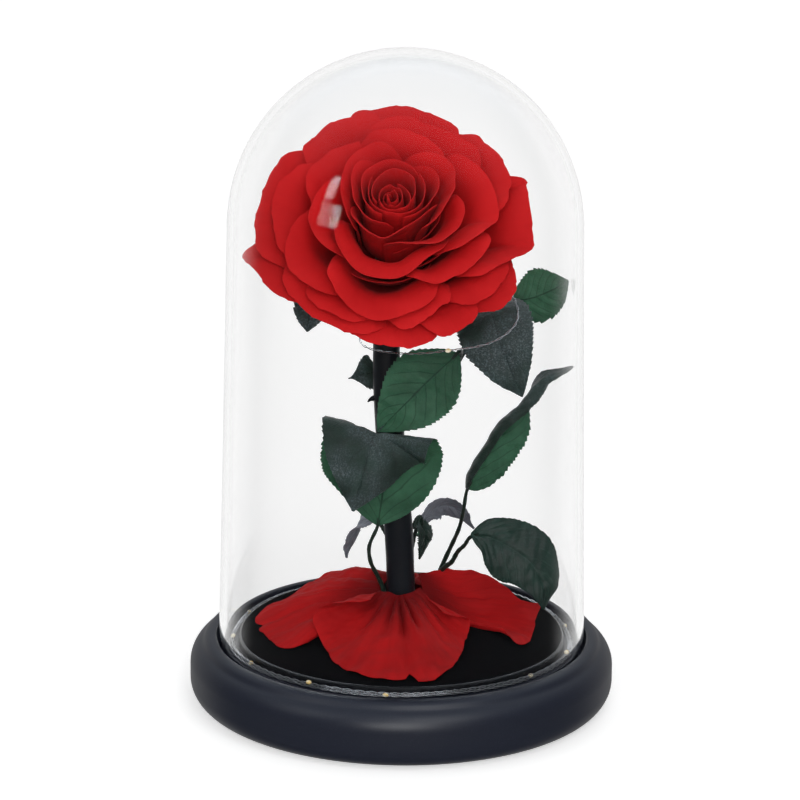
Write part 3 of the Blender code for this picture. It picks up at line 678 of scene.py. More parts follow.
lightWire = {
    "hole": (8.0, 55.4, 21.5),
    "turns": 1073.8,           # degrees round the ledge, clockwise seen from above
    "radii": (56.3, 55.3, 55.8),
    "heights": (22.2, 23.0),   # of the first two turns and of the last
    # where the wire leaves its hole, steps over to its next turn and lifts off, in degrees of winding
    "leave": (0.0, 15.0),
    "secondTurn": (312.0, 352.0),
    "thirdTurn": (632.0, 667.0),
    "liftOff": 1060.0,
    "loose": (0.13, 0.11),     # how far the turns stray sideways and up
    "step": 4.0,
    "diameter": 0.8,
    "strand": 0.145,
    "twist": 7.5,              # length of one full twist
    "riser": (
        (2, 55.8, 24.4), (1.4, 53.6, 25.9), (-0.2, 42, 25.3), (-1, 28, 25.2), (-1, 15, 25.9),
        (-0.8, 9.6, 29), (-0.8, 8.4, 36), (-1.2, 9, 58), (-2.6, 10.2, 82), (-3, 12.2, 104),
        (-1.6, 15.6, 118), (3, 19.4, 127), (14, 19.4, 135.6), (24, 16, 141.4), (30, 10.4, 143.4),
        (33.6, 4, 141.6), (36.6, -3, 138.4), (36.3, -10, 134.7), (31.4, -14.6, 131), (25, -16.6, 128.8),
        (16, -17.4, 127.6), (6, -17.2, 126.2), (-4, -14.6, 125.5), (-11, -9.6, 125.2), (-14.2, -3, 125.2),
        (-14.6, 4, 126.6), (-12.4, 11.6, 125.4), (-8, 18, 126.6), (1, 21.6, 128.6), (10, 17, 130),
        (13.4, 6, 130.6), (12.2, -6, 130.6), (6.4, -13.4, 129.2), (-0.4, -13.8, 127.6),
    ),
    "riserPoints": 220,
    # lights in the ring by (azimuth, turn), and up the riser by share of its length
    "ringLights": ((11.1, 0), (-95.0, 0), (157.4, 0), (50.0, 1), (-41.2, 1), (-151.0, 1), (108.0, 2),
                   (-17.1, 2), (-122.0, 2), (-175.8, 2)),
    "riserLights": (0.24, 0.50, 0.665, 0.815),
    "lightSize": (1.0, 0.72),  # half its length and half its width
    "lightLift": 0.35,
}


def holeAzimuth():
    return math.degrees(math.atan2(lightWire["hole"][1], lightWire["hole"][0]))


def ringPoint(turned):
    # where the wire lies after this many degrees of winding
    w = lightWire
    end = w["liftOff"]

    def blend(low, high):
        return float(smoothStep(turned, low, high))

    x, y, height = w["hole"]
    radius = math.hypot(x, y)
    for level, change in zip(w["radii"], ("leave", "secondTurn", "thirdTurn")):
        radius = between((radius, level), blend(*w[change]))
    lifts = ((0.0, 6.0), w["thirdTurn"], (end, w["turns"]))
    for level, lift in zip((*w["heights"], w["riser"][0][2]), lifts):
        height = between((height, level), blend(*lift))
    loose = blend(w["leave"][1], 40.0) * blend(end, end - 30.0)
    turn = math.radians(turned)
    radius += loose * w["loose"][0] * math.sin(turn * 5.3) * math.cos(turn * 1.7)
    height += loose * w["loose"][1] * math.sin(turn * 7.1 + 1.0)
    angle = math.radians(holeAzimuth() - turned)
    return (radius * math.cos(angle), radius * math.sin(angle), height)


def strandPart(path, phase):
    w = lightWire
    steps = int(lengthOf(path) / w["twist"] * 9)
    at, middle = evenPoints(path, steps)
    tangent = unit(np.gradient(middle, axis=0))
    # a slowly wandering twist: tight in places, nearly flat in others
    turn = phase + 2.0 * math.pi * at / w["twist"] + 1.6 * np.sin(at / 23.0) + 1.1 * np.sin(at / 9.7)
    first = unit(np.cross(tangent, (0.3, 0.2, 0.93)))
    second = np.cross(tangent, first)
    offset = w["diameter"] / 2.0 - w["strand"]
    line = middle + offset * (first * np.cos(turn)[:, None] + second * np.sin(turn)[:, None])
    return tubePart(line, np.full(steps, w["strand"]), 5)


def lightPart(centre, along):
    # a drop of clear resin over a tiny light
    length, half = lightWire["lightSize"]
    stations = np.linspace(-1.0, 1.0, 9)
    points = [np.array(centre) + along * s * length for s in stations]
    radii = [max(0.10, half * math.sqrt(max(0.0, 1.0 - s * s))) for s in stations]
    return tubePart(points, radii, 10)


def wireFinishes():
    tree, shader = newFinish("wireSilver", 0.20, 0.5, {"Metallic": 1.0})
    # the silver is darker and rougher in some patches along the wire
    silverPatches = cloud(tree, coords(tree), 34.0, 3.0)
    tint = blendColour(tree, remap(tree, silverPatches, 0.42, 0.56), (0.92, 0.92, 0.94), (0.34, 0.34, 0.35))
    tree.links.new(tint, shader.inputs["Base Color"])
    tree.links.new(remap(tree, silverPatches, 0.3, 0.7, 0.16, 0.34), shader.inputs["Roughness"])
    tree, shader = newFinish("lightCream", 0.25, 0.5)
    core = remap(tree, cloud(tree, coords(tree), 700.0, 1.0), 0.4, 0.6)
    tint = blendColour(tree, core, (0.72, 0.52, 0.20), (0.86, 0.80, 0.62))
    tree.links.new(tint, shader.inputs["Base Color"])


def makeLightWire():
    wireFinishes()
    ring = [ringPoint(turned) for turned in np.arange(0.0, lightWire["turns"], lightWire["step"])]
    riser = smoothRoute(lightWire["riser"], lightWire["riserPoints"])
    path = np.concatenate([np.array(ring), riser])
    wire = newPiece("lightWire", [strandPart(path, 0.0), strandPart(path, math.pi)], ["wireSilver"], 80.0)
    place(wire, "wire", "light_wire_ring", "light_wire_riser")
    beads = []
    for azimuth, turn in lightWire["ringLights"]:
        turned = (holeAzimuth() - azimuth) % 360.0 + 360.0 * turn
        here, ahead = np.array(ringPoint(turned)), np.array(ringPoint(turned + 1.0))
        beads.append(lightPart(here + np.array((0.0, 0.0, lightWire["lightLift"])), unit(ahead - here)))
    for share in lightWire["riserLights"]:
        k = int(share * (lightWire["riserPoints"] - 1))
        beads.append(lightPart(riser[k], unit(riser[k + 1] - riser[k])))
    lights = newPiece("wireLights", beads, ["lightCream"], 80.0)
    place(lights, "wire")
    print("light wire made,", round(lengthOf(path)), "mm long")


makeLightWire()


# Bloom: every petal lies on its own surface of one family, so that no two cross. A surface's level is the
# radius of its lip, and it runs from its root on the claw line to its tip on the bloom's dish

bloom = {
    "centre": (-4.7, -8.0, 167.0),
    "tilt": 48.0,
    "radius": 47.0,
    "clawStart": (1.0, -14.0),
    "clawEnd": (9.0, -25.0),
    "tipTop": 17.0,
    "tipFall": 18.5,
    "flatTop": 10.0,           # levels below this have their tips at the top's height
    "rootRise": (56.0, 6.0),   # how steeply a petal leaves its root, innermost and outermost, in degrees
    "tipRise": (92.0, -8.0),   # and how steeply it arrives at its tip
    "tipTurn": 0.16,           # share of the radius where the tips begin to lean out
    "fullness": 0.36,
    "warp": 0.9,
    "rootWidth": (0.80, 0.45),   # share of the lip's width, inner and outer petals
    "rootLevels": (12.0, 32.0),
    "ragged": (0.003, 0.008),  # of the lip, inner and outer petals
    "raggedLevels": (30.0, 42.0),
    "rows": 32,
    "columns": 45,
    "thickness": 0.34,
    "uneven": (0.17, 0.07),    # slow and fine unevenness of a petal
}

# every petal: how far its lip rolls out, then the lip from end to end as (azimuth, level) or
# (azimuth, level, reach); a reach under 1 lets that stretch of the lip drop below the whorl's height
petals = {
    "bud_1": (0.5, ((215, 4.6), (250, 5.2), (285, 5.7), (326, 5.9), (360, 5.6), (395, 5), (430, 4.6))),
    "bud_2": (0.7, ((205, 5.4), (175, 6.4), (147, 7.3), (114, 9), (92, 10), (70, 10.1), (48, 9.6),
        (26, 8), (-8, 6.9), (-28, 6.6))),
    "bud_3": (0.8, ((130, 10.2), (165, 8.3), (184, 7.5), (215, 6.6), (240, 6.5), (265, 6.9), (290, 7.7),
        (330, 8.9), (365, 10.3), (385, 11.2), (404, 11.6))),
    "bud_4": (0.8, ((40, 12.8, 0.82), (52, 13, 0.95), (68, 13.2), (101, 13.8), (122, 13.3), (141, 12.6),
        (168, 10.2), (185, 9.2), (201, 8.5), (225, 8), (245, 7.9))),
    "bud_5": (1, ((292, 9.5), (310, 10), (330, 10.9), (353, 12.7), (374, 15.2), (391, 17.3), (402, 16.9),
        (416, 15.4, 0.96), (432, 15, 0.85))),
    "cup_4": (1.1, ((104, 17.6, 0.85), (124, 17.2), (144, 16), (166, 13.6), (185, 12.3), (203, 11.6),
        (231, 10.9), (255, 10.2, 0.97), (275, 10, 0.85))),
    "cup_1": (1.2, ((176, 13.2, 0.8), (188, 13.9, 0.94), (201, 14.4), (221, 14.3), (245, 14.9),
        (262, 15.8), (275, 14.2), (286, 13.2), (310, 12.7), (329, 13), (345, 14.4, 0.97),
        (360, 16, 0.86))),
    "cup_2": (1, ((60, 17.4, 0.68), (85, 18.2, 0.76), (110, 18.6, 0.78), (135, 18, 0.76),
        (160, 16.6, 0.68))),
    "cup_3": (1, ((-84, 17.8, 0.6), (-60, 18, 0.7), (-35, 18.4, 0.74), (-5, 19, 0.76), (25, 19.8, 0.74),
        (50, 20, 0.64))),
    "heart_3": (1.5, ((216, 16.2, 0.88), (204, 16, 0.97), (191, 16), (178, 16.6), (165, 17.6),
        (148, 19.2), (132, 20.6), (117, 22), (102, 22.6), (89, 21, 0.98), (80, 19.6, 0.9),
        (72, 18.6, 0.76))),
    "heart_2": (1.6, ((88, 22.8, 0.62), (80, 22.4, 0.76), (75, 22.2, 0.86), (62, 23.2, 0.96), (49, 24.8),
        (38, 24.8), (21, 21.4), (10, 19.6), (-2, 17.6), (-21, 16.4), (-33, 16.4), (-50, 16))),
    "heart_1": (1.9, ((262, 16.6, 0.8), (272, 17, 0.93), (282, 17.8), (298, 20.1), (315, 22.6),
        (331, 23.3), (348, 23.3), (359, 22.7), (367, 22, 0.97), (375, 22.6, 0.88), (381, 23.2, 0.72))),
    "heart_7": (3.6, ((186, 19.6, 0.7), (193, 20, 0.88), (203, 20.8, 0.97), (227, 23), (250, 26.7),
        (267, 27.7), (279, 27.5), (292, 25.6), (305, 24.6), (318, 25, 0.96), (332, 25.6, 0.84))),
    "heart_5": (2.3, ((140, 22.8, 0.82), (148, 23.2, 0.9), (157, 23.8, 0.97), (173, 25.8), (187, 27.3),
        (202, 26.9), (215, 25.7), (228, 25.5, 0.92), (238, 26.8, 0.74))),
    "heart_4": (1.8, ((113, 25.2), (125, 26.7), (141, 29), (152, 30.8), (164, 30.4, 0.97),
        (171, 29.8, 0.92), (180, 29.4, 0.84), (190, 29.8, 0.7))),
    "middle_3": (1.6, ((114, 27.6, 0.9), (103, 27.9), (94, 28.8), (81, 29.6), (72, 28.9), (55, 27.7),
        (47, 26.9, 0.97), (40, 26.5, 0.88), (34, 26.4, 0.76))),
    "heart_6": (0.6, ((205, 27.6, 0.6), (225, 29.6, 0.7), (245, 31.5, 0.76), (262, 32.4, 0.77),
        (280, 32.2, 0.76), (300, 31, 0.7), (315, 29.8, 0.6))),
    "heart_8": (0.6, ((268, 27.6, 0.58), (285, 28.2, 0.7), (300, 28.5, 0.74), (320, 28.7, 0.74),
        (340, 28.9, 0.7), (352, 29, 0.6))),
    "middle_2": (2, ((52, 29.8, 0.9), (44, 30.6), (32, 33.6), (17, 33.8), (5, 34), (-3, 33.8), (-9, 31.6),
        (-23, 28.8), (-36, 27), (-48, 26.8, 0.85))),
    "middle_1": (2, ((283, 29, 0.93), (291, 29.8), (301, 32), (312, 32.8), (323, 33.4), (333, 33.6),
        (343, 33.4), (351, 34.2, 0.88), (356, 35.4, 0.76))),
    "outer_1": (2.4, ((218, 27.4, 0.74), (224, 28.2, 0.9), (230, 29.8), (237, 32.2), (245, 35.4),
        (253, 38.3), (261, 39.6), (267, 39.5), (276, 38.4), (284, 36.8), (294, 35), (301, 34.4, 0.92),
        (308, 35, 0.78))),
    "middle_4": (2.2, ((174, 31.8, 0.85), (183, 32, 0.96), (192, 33.6), (200, 35.6), (211, 36.8),
        (223, 36.2), (236, 36.5, 0.97), (246, 37.6, 0.85))),
    "middle_5": (2, ((140, 33.8, 0.9), (149, 35), (158, 38.4), (164, 39.6), (171, 39.9), (184, 38.4),
        (196, 37.8), (206, 38.8, 0.85))),
    "guard_4": (2, ((128, 40.6, 0.8), (136, 41.6, 0.93), (142, 42.6), (150, 44.2), (159, 44.5),
        (168, 44.2), (176, 44.3), (186, 43.6), (195, 43.4), (205, 43, 0.85))),
    "guard_5": (1, ((184, 44.4, 0.8), (188, 45, 0.92), (191, 46.2), (193.5, 48), (196, 47), (200, 45.8),
        (206, 45), (213, 44.6), (221, 44.4, 0.97), (232, 45.2, 0.84))),
    "guard_3": (1.8, ((147, 37.6, 0.85), (139, 37.4), (128, 39.2), (121, 41), (114, 41), (106, 39.8),
        (98, 39), (90, 38.8, 0.85))),
    "guard_2": (1.8, ((114, 43.6, 0.85), (105, 42.6), (96, 42.6), (89, 44.2), (84, 45.9), (78, 45.4),
        (68, 45.8), (60, 44.4), (52, 43.8, 0.85))),
    "outer_5": (1.8, ((104, 35.4, 0.9), (90, 36.4), (75, 37.4), (62, 38.6), (52, 39.8), (44, 39.6),
        (37, 38.2, 0.95), (30, 37.4, 0.82))),
    "guard_1": (1.8, ((66, 47.6, 0.8), (59, 46.6, 0.92), (52, 46.3), (45, 45.3), (37, 44.4), (26, 42),
        (17, 39.6), (9, 37.2), (1, 36.8, 0.85))),
    "outer_4": (1.2, ((32, 43.6, 0.82), (27, 44.4, 0.93), (23.5, 45.4), (21.5, 47), (18.5, 45.6),
        (12, 44.6), (5, 44.9), (-1, 45.6), (-5, 46.3), (-8, 47.4), (-10.5, 46.2), (-15, 43.8),
        (-20, 41.4), (-28, 38.4), (-36, 36.8), (-44, 36.4, 0.85))),
    "guard_10": (1.5, ((46, 47.8, 0.76), (36, 47.8, 0.86), (29, 48, 0.88), (21, 48.4, 0.86),
        (10, 47.8, 0.76))),
    "outer_6": (1.8, ((267, 41.9, 0.88), (275, 41.4), (283, 40.2), (290, 39), (297, 37.6), (302, 37),
        (309, 37.2, 0.84))),
    "outer_3": (2, ((298, 39.8, 0.82), (305, 39.8, 0.95), (311, 40.6), (318, 41.8), (325, 42.4),
        (333, 42.4), (340, 43.4, 0.95), (347, 45.4, 0.82))),
    "guard_8": (1.8, ((283, 43.2, 0.85), (290, 43.8), (296, 44.4), (304, 44.4), (310, 43.6),
        (316, 43.8, 0.92), (323, 44.8, 0.8))),
    "guard_9": (1.6, ((309, 46.4, 0.85), (316, 46.4, 0.96), (321, 47), (326, 47), (331, 46.8),
        (338, 46.4, 0.95), (346, 47.4, 0.84))),
    "guard_6": (1.8, ((221, 39.4, 0.85), (230, 39.6), (238, 40.2), (246, 40.9), (254, 41.2),
        (260, 41.5, 0.93), (265, 41.9, 0.84))),
    "outer_2": (2, ((203, 41.2, 0.85), (211, 40.6, 0.96), (218, 41), (226, 42.2), (233, 43), (244, 43.8),
        (252, 43.5), (260, 43.5), (268, 44, 0.88))),
    "guard_7": (1.6, ((244, 46, 0.84), (251, 45.4, 0.95), (259, 45.2), (266, 45.7), (272, 45.9),
        (278, 45.8), (286, 46.4, 0.95), (295, 46.8, 0.84))),
}


def bloomPoint(radius, azimuth, height):
    tilt = math.radians(bloom["tilt"])
    axis = np.array((0.0, -math.cos(tilt), math.sin(tilt)))
    upward = np.array((0.0, math.sin(tilt), math.cos(tilt)))
    x = radius * np.cos(azimuth)
    y = radius * np.sin(azimuth)
    swell = bloom["warp"] * np.minimum(1.0, radius / 12.0)
    x = x + swell * np.sin(y / 9.0 + height / 14.0 + 0.6)
    y = y + swell * np.sin(x / 10.0 - height / 12.0 + 2.1)
    height = height + 1.3 * swell * np.sin(x / 11.0 + 0.4) * np.cos(y / 12.0 + 0.9)
    across = x[..., None] * np.array((1.0, 0.0, 0.0))
    return np.array(bloom["centre"]) + across + y[..., None] * upward + height[..., None] * axis


def petalProfile(level, v):
    # radius and height at v (0 root, 1 lip) of the surface of this level
    share = level / bloom["radius"]
    root = [between(ends, share) for ends in zip(bloom["clawStart"], bloom["clawEnd"])]
    flat = bloom["flatTop"]
    fall = np.maximum(0.0, (level - flat) / (bloom["radius"] - flat)) ** 1.8
    tip = [level, bloom["tipTop"] - bloom["tipFall"] * fall]
    reach = bloom["fullness"] * np.hypot(tip[0] - root[0], tip[1] - root[1])
    lean = np.clip((share - bloom["tipTurn"]) / (1.0 - bloom["tipTurn"]), 0.0, 1.0) ** 0.85
    leave = np.radians(between(bloom["rootRise"], share))
    arrive = np.radians(between(bloom["tipRise"], lean))
    first = [root[0] + reach * np.cos(leave), root[1] + reach * np.sin(leave)]
    second = [tip[0] - reach * np.cos(arrive), tip[1] - reach * np.sin(arrive)]
    a, b, c, d = (1 - v) ** 3, 3 * v * (1 - v) ** 2, 3 * v * v * (1 - v), v ** 3
    return [a * root[k] + b * first[k] + c * second[k] + d * tip[k] for k in (0, 1)]


def lipLine(spots):
    # azimuth, level and reach of evenly spaced points along the lip; the scale weighs them for the spacing
    scale = np.array((0.4, 1.0, 30.0))
    route = [np.array((*spot, 1.0)[:3]) * scale for spot in spots]
    return (smoothRoute(route, bloom["columns"]) / scale).T


def petalGrid(roll, spots, seed):
    azimuth, level, reach = lipLine(spots)
    mean = level.mean()
    u = np.linspace(-1.0, 1.0, bloom["columns"])[None, :]
    s = (np.linspace(0.0, 1.0, bloom["rows"]) ** 0.75)[:, None]
    # outer petals have dry, slightly ragged lips
    ragged = between(bloom["ragged"], smoothStep(mean, *bloom["raggedLevels"]))
    v = (reach + 0.009 * edgeWave(u, seed, 7.0) + ragged * edgeWave(u, seed + 1.3, 19.0) * s ** 3) * s
    # inner petals wrap the bud all the way down, outer ones are narrow at the root
    share = between(bloom["rootWidth"], smoothStep(mean, *bloom["rootLevels"]))
    width = share + (1.0 - share) * np.sin(math.pi / 2.0 * np.minimum(1.0, v / 0.55))
    middle = (azimuth.min() + azimuth.max()) / 2.0
    turn = np.radians(middle + (azimuth - middle) * width)
    # the lip rolls outwards, most in the middle, bends over and waves a little
    edge = smoothStep(s, 0.70, 1.0) ** 1.5
    body = mean + (level - mean) * smoothStep(s, 0.0, 0.6)
    waved = min(0.3, 0.18 * roll) * edgeWave(u, seed + 4.0, 4.2) * smoothStep(s, 0.45, 1.0)
    here = np.maximum(0.5, body - roll * (1.0 - 0.7 * u ** 2) * (1.0 - edge) + waved)
    radius, height = petalProfile(here, v)
    return bloomPoint(radius, turn, height - 0.30 * roll * edge ** 2)


def petalPart(roll, spots, seed):
    grid = petalGrid(roll, spots, seed)
    grow = smoothStep(np.linspace(0.0, 1.0, bloom["rows"])[:, None], 0.15, 0.5)
    slow, fine = bloom["uneven"]
    uneven = slow * crumple(grid, 12.0, 31) + fine * crumple(grid, 4.5, int(seed * 10) + 5)
    return sheetPart(grid + gridNormal(grid) * (uneven * grow)[..., None], bloom["thickness"])


def makeBloom():
    for number, (name, (roll, spots)) in enumerate(petals.items()):
        part = petalPart(roll, spots, 1.0 + 1.37 * number)
        piece = newPiece("rosePetal_" + name, [part], ["petalRed"], 70.0)
        node = "petal_" + name
        place(piece, "petals", *([node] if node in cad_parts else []))
    print("bloom made,", len(petals), "petals")


# the tight roll in the middle, a single petal wound on itself
heart = {
    "rows": 26,
    "columns": 120,
    "start": 70.0,
    "wound": 880.0,            # degrees
    "levels": (0.55, 3.5),     # at its start, and how far it opens
    "crease": 0.28,
    "thickness": 0.30,
}


def makeHeart():
    a = np.linspace(0.0, 1.0, heart["columns"])[None, :]
    s = np.linspace(0.0, 1.0, heart["rows"])[:, None]
    turn = np.radians(heart["start"] + heart["wound"] * a) + 0.0 * s
    crease = edgeWave(a * 2.0 - 1.0, 5.1, 17.0)
    level = heart["levels"][0] + heart["levels"][1] * a
    level = level + (0.25 + heart["crease"] * crease) * smoothStep(s, 0.6, 1.0)
    v = 0.12 + (0.86 + 0.05 * edgeWave(a * 2.0 - 1.0, 2.2, 6.0) + 0.03 * crease) * s
    radius, height = petalProfile(level, v)
    grid = bloomPoint(radius, turn, height)
    piece = newPiece("roseHeart", [sheetPart(grid, heart["thickness"])], ["petalRed"], 70.0)
    place(piece, "petals", "bloom_core")


makeBloom()
makeHeart()


# Calyx: the hip, with five sepals that spread beyond its radius
calyx = {
    "hip": 7.7,
    "sepals": 5,
    "point": 1.4,
    "segments": 120,
    "profile": ((0.0, -31.0), (3.0, -31.0), (3.6, -30.8), (4.4, -30.2), (5.6, -29.5), (6.6, -28.9),
                (7.3, -28.2), (8.4, -28.2), (10.0, -28.5), (12.0, -28.9), (12.7, -28.9), (12.9, -28.6),
                (12.4, -28.3), (10.2, -27.6), (8.4, -27.0), (7.3, -26.5), (5.8, -25.0), (4.0, -22.4),
                (1.6, -19.0), (0.0, -18.0)),
}


def sepalPoint(radius, height, angle):
    if radius > calyx["hip"]:
        reach = abs(math.cos(calyx["sepals"] / 2.0 * angle)) ** calyx["point"]
        radius = calyx["hip"] + (radius - calyx["hip"]) * reach
    return bloomPoint(np.array(radius), np.array(angle), np.array(height))


def makeCalyx():
    part = turnedPart(calyx["profile"], calyx["segments"], sepalPoint)
    place(newPiece("roseCalyx", [part], ["leafUnder"], 60.0), "leaves", "calyx")
    print("calyx made")


makeCalyx()


# Stem

stem = {
    # points of its middle line, each with the stem's radius there
    "route": (
        (0.4, 2.3, 22.2, 4.65), (-0.4, 2.8, 40, 4.65), (-1.4, 3.4, 60, 4.65), (-3.6, 4.4, 82, 4.65),
        (-5.3, 6, 104, 4.65), (-5.9, 9, 122, 4.5), (-5.6, 12.4, 130, 4.2), (-5.2, 14.7, 136.4, 3.8),
        (-4.9, 15.5, 140, 3.5), (-4.7, 14.9, 141.9, 3.3), (-4.7, 13.1, 143.6, 3.1),
    ),
    # the middle line of each thorn and its radius at the stem
    "thorns": (
        (((-8.2, 5.6, 103.4), (-9.8, 5.4, 103.4), (-11.0, 5.2, 103.0), (-11.9, 5.0, 102.2)), 1.5),
        (((-2.0, 9.2, 74.0), (-1.8, 11.4, 74.4), (-1.6, 12.8, 73.8), (-1.5, 13.8, 72.8)), 1.7),
        (((2.4, 5.2, 88.0), (4.0, 5.6, 88.2), (5.2, 5.8, 87.8), (6.2, 6.0, 87.0)), 1.6),
    ),
    "points": 130,
    "sides": 40,
    "endChamfer": 0.3,
    "thornPoints": 14,
    "thornSides": 12,
}


def thornPart(points, radius):
    line = smoothRoute(points, stem["thornPoints"])
    radii = radius * (1.0 - np.linspace(0.0, 0.94, stem["thornPoints"])) ** 0.8
    return tubePart(line, radii, stem["thornSides"])


def makeStem():
    given = np.array(stem["route"])
    route = smoothRoute(given[:, :3], stem["points"])
    radii = np.interp(route[:, 2], given[:, 2], given[:, 3])
    radii = radii + 0.06 * np.sin(route[:, 2] / 7.0) + 0.04 * np.sin(route[:, 2] / 2.9 + 1.0)
    radii[0] -= stem["endChamfer"]
    radii[-1] -= stem["endChamfer"]
    parts = [tubePart(route, radii, stem["sides"])]
    parts += [thornPart(points, radius) for points, radius in stem["thorns"]]
    place(newPiece("roseStem", parts, ["stemBlack"], 50.0), "stem", "stem")
    print("stem made")


makeStem()


# Leaves: each has the points of its midrib and of its stalk, its half width, the way one half spreads (the
# other spreads the opposite way unless it has its own) and each half's curl in degrees. What a leaf doesn't
# say is as in leafShape: upper is 1 where the glossy face is the top one and -1 where it's below

leafShape = {
    "upper": 1,
    "face": "worn",
    "widest": 0.42,            # share of the length
    "round": 0.75,             # less is fuller, towards the stalk
    "point": 0.9,              # more is more pointed
    "twist": 0.0,              # degrees about the midrib, from the middle to the tip
    "tooth": 0.85,
    "toothSpacing": 1.7,
    "veinSpacing": 4.2,
    "quilt": 0.22,
    "groove": 0.30,
    "crumple": (0.35, 0.13),
    "thickness": 0.36,
    "stations": 125,
    "across": 29,
    "stalkPoints": 60,
    "stalkSides": 12,
    "stalkRadius": 0.9,
    "stalkThin": 0.62,         # share of the radius at the stalk's end
}

leaves = {
    "leaf_upper_right": {
        "rib": ((35.5, 10.5, 135.6), (42, 12, 136.4), (48.8, 12, 139.2), (54.6, 10.5, 142.8)),
        "stalk": ((-0.9, 12.2, 129.6), (12, 13.2, 134.6), (25, 11.6, 138), (34.5, 10.6, 138.9)),
        "halfWidth": 9, "side": (-0.3, 0.2, 0.9), "roll": (23, 23),
    },
    "leaf_hanging": {
        "rib": ((23.4, 11.5, 133), (26.4, 4, 136.4), (28.6, -3.5, 134.6), (31.4, -8, 126),
            (35.2, -9.5, 116.6), (38.6, -9, 109.1)),
        "stalk": ((-0.4, 7.3, 110), (7, 6.6, 110.8), (15, 5, 113.4), (21, 7.4, 121.6), (23.2, 11, 131),
            (24, 10.2, 134)),
        "halfWidth": 12.6, "side": (-0.96, 0, -0.28), "roll": (-14, -14),
    },
    "leaf_centre": {
        "rib": ((17.6, -4.4, 122.2), (8.5, -6.2, 114), (-1.2, -7.2, 103.9), (-8.4, -7.2, 96)),
        "stalk": ((17.4, 4.2, 116.8), (18.6, 0.4, 121), (17.8, -3.8, 122.6), (15.6, -4.8, 120.4)),
        "halfWidth": 12.4, "side": (-0.72, 0.1, 0.69), "roll": (18, 18), "upper": -1,
    },
    "leaf_thorn_side": {
        "rib": ((-9, 12.6, 110.6), (-13.4, 12.4, 109.4), (-18.4, 12, 108)),
        "stalk": ((-5.4, 13, 111.4), (-8.4, 12.8, 110.8), (-12.4, 12.5, 109.7)),
        "halfWidth": 6.2, "side": (0.1, 0.1, 1), "roll": (11, 11), "widest": 0.2, "point": 1.9,
    },
    "leaf_folded": {
        "rib": ((-8.1, -5.6, 63), (-6.4, -7.6, 79), (-7.3, -10.2, 91), (-8.9, -13.4, 97.6),
            (-10.6, -17.4, 94.2), (-13.4, -19.8, 83.7), (-16.2, -20.6, 73)),
        "stalk": ((-5.7, 0.8, 24.7), (-6.2, 1.1, 38), (-8, -0.6, 43.4), (-10.4, -3.4, 49.4),
            (-10.9, -5, 55.5), (-8.3, -5.4, 62.4), (-7.8, -6, 66)),
        "halfWidth": 20.2, "side": (-0.97, 0, 0.24), "roll": (-11, -16),
    },
    "leaf_slender": {
        "rib": ((21.1, -4, 75.4), (25.4, -5.2, 84), (31.6, -6.2, 94.6), (38, -6.2, 105),
            (45.6, -4.6, 114), (55.4, -3, 117.6)),
        "stalk": ((10.2, 14.4, 24.8), (11.2, 14.2, 35), (12.8, 13, 41.2), (15.2, 10.6, 48),
            (17, 7.4, 53.4), (18.6, 3, 59), (19.9, -1, 66), (21, -3.6, 74.6), (22.4, -4.4, 78.4)),
        "halfWidth": 8.6, "side": (-0.85, 0.25, 0.35), "otherSide": (0.85, -0.1, -0.45),
        "roll": (-185, 25), "widest": 0.26, "round": 0.42, "point": 0.7, "twist": 100,
    },
    "leaf_lower_right": {
        "rib": ((22.6, -2.4, 59.2), (28.9, -4.2, 58.6), (35.8, -6.2, 55.6), (42.6, -7.6, 50.6),
            (46.4, -8.6, 43), (46.6, -9.2, 35.4)),
        "stalk": ((12.9, 12.7, 41), (14.5, 10.8, 43.2), (16.4, 8.2, 45.6), (18.4, 5.6, 50.2),
            (20.6, 2, 53.8), (22.4, -1.6, 57.8), (25.2, -3.2, 59.4)),
        "halfWidth": 11, "side": (0.35, 0.3, 0.9), "otherSide": (-0.5, -0.35, -0.8), "roll": (23, 23),
        "upper": -1, "tooth": 0.3, "face": "smooth",
    },
    "leaf_arched": {
        "rib": ((4.6, 16.5, 54.5), (9.6, 18, 60), (14.6, 19.5, 61.4), (19.8, 21, 58.2), (24, 22, 52.6)),
        "stalk": ((1.5, 7.7, 46), (3.2, 12.6, 49.4), (4.6, 16.4, 54), (6.8, 17.2, 57.4)),
        "halfWidth": 6.4, "side": (0.1, 0.65, -0.74), "roll": (14, 14), "face": "pale",
    },
    "leaf_behind_left": {
        "rib": ((-8.4, 13, 58.8), (-13.6, 15, 57.4), (-16.6, 16, 50.4), (-18.7, 16.4, 43.8)),
        "stalk": ((-3.6, 7.7, 52), (-6.2, 11.4, 55.6), (-8.6, 13, 58.6), (-10.6, 13.8, 58.6)),
        "halfWidth": 5.2, "side": (0.5, 0.6, 0.6), "roll": (14, 14), "face": "pale",
    },
    "leaf_behind_right": {
        "rib": ((5.6, 9.6, 61), (7.6, 10.8, 53), (5.6, 11.4, 45.4)),
        "stalk": ((3.5, 6.3, 58), (4.8, 8.2, 60.6), (5.8, 9.8, 60.8), (6.6, 10.2, 58)),
        "halfWidth": 3.6, "side": (0.6, 0.8, 0), "roll": (11, 11), "upper": -1,
    },
    "leaf_under_bloom": {
        "rib": ((-27.6, 2.6, 141.6), (-30.4, 0, 137), (-31.8, -2.6, 128.6)),
        "stalk": ((-10.5, 10.8, 129.2), (-18, 7.8, 136.6), (-26, 3.4, 141.8), (-28.4, 2, 140.8)),
        "halfWidth": 6.2, "side": (-0.9, -0.2, 0.2), "roll": (18, 18),
    },
}

# finishes of the top and the under side
leafFaces = {
    # the worn face carries the most painted sheen
    "worn": ("leafUpper", "leafUnder"),
    "smooth": ("leafSmooth", "leafUnder"),
    # the pale face is painted sheen on both sides
    "pale": ("leafPaintedSheen", "leafPaintedSheen"),
}


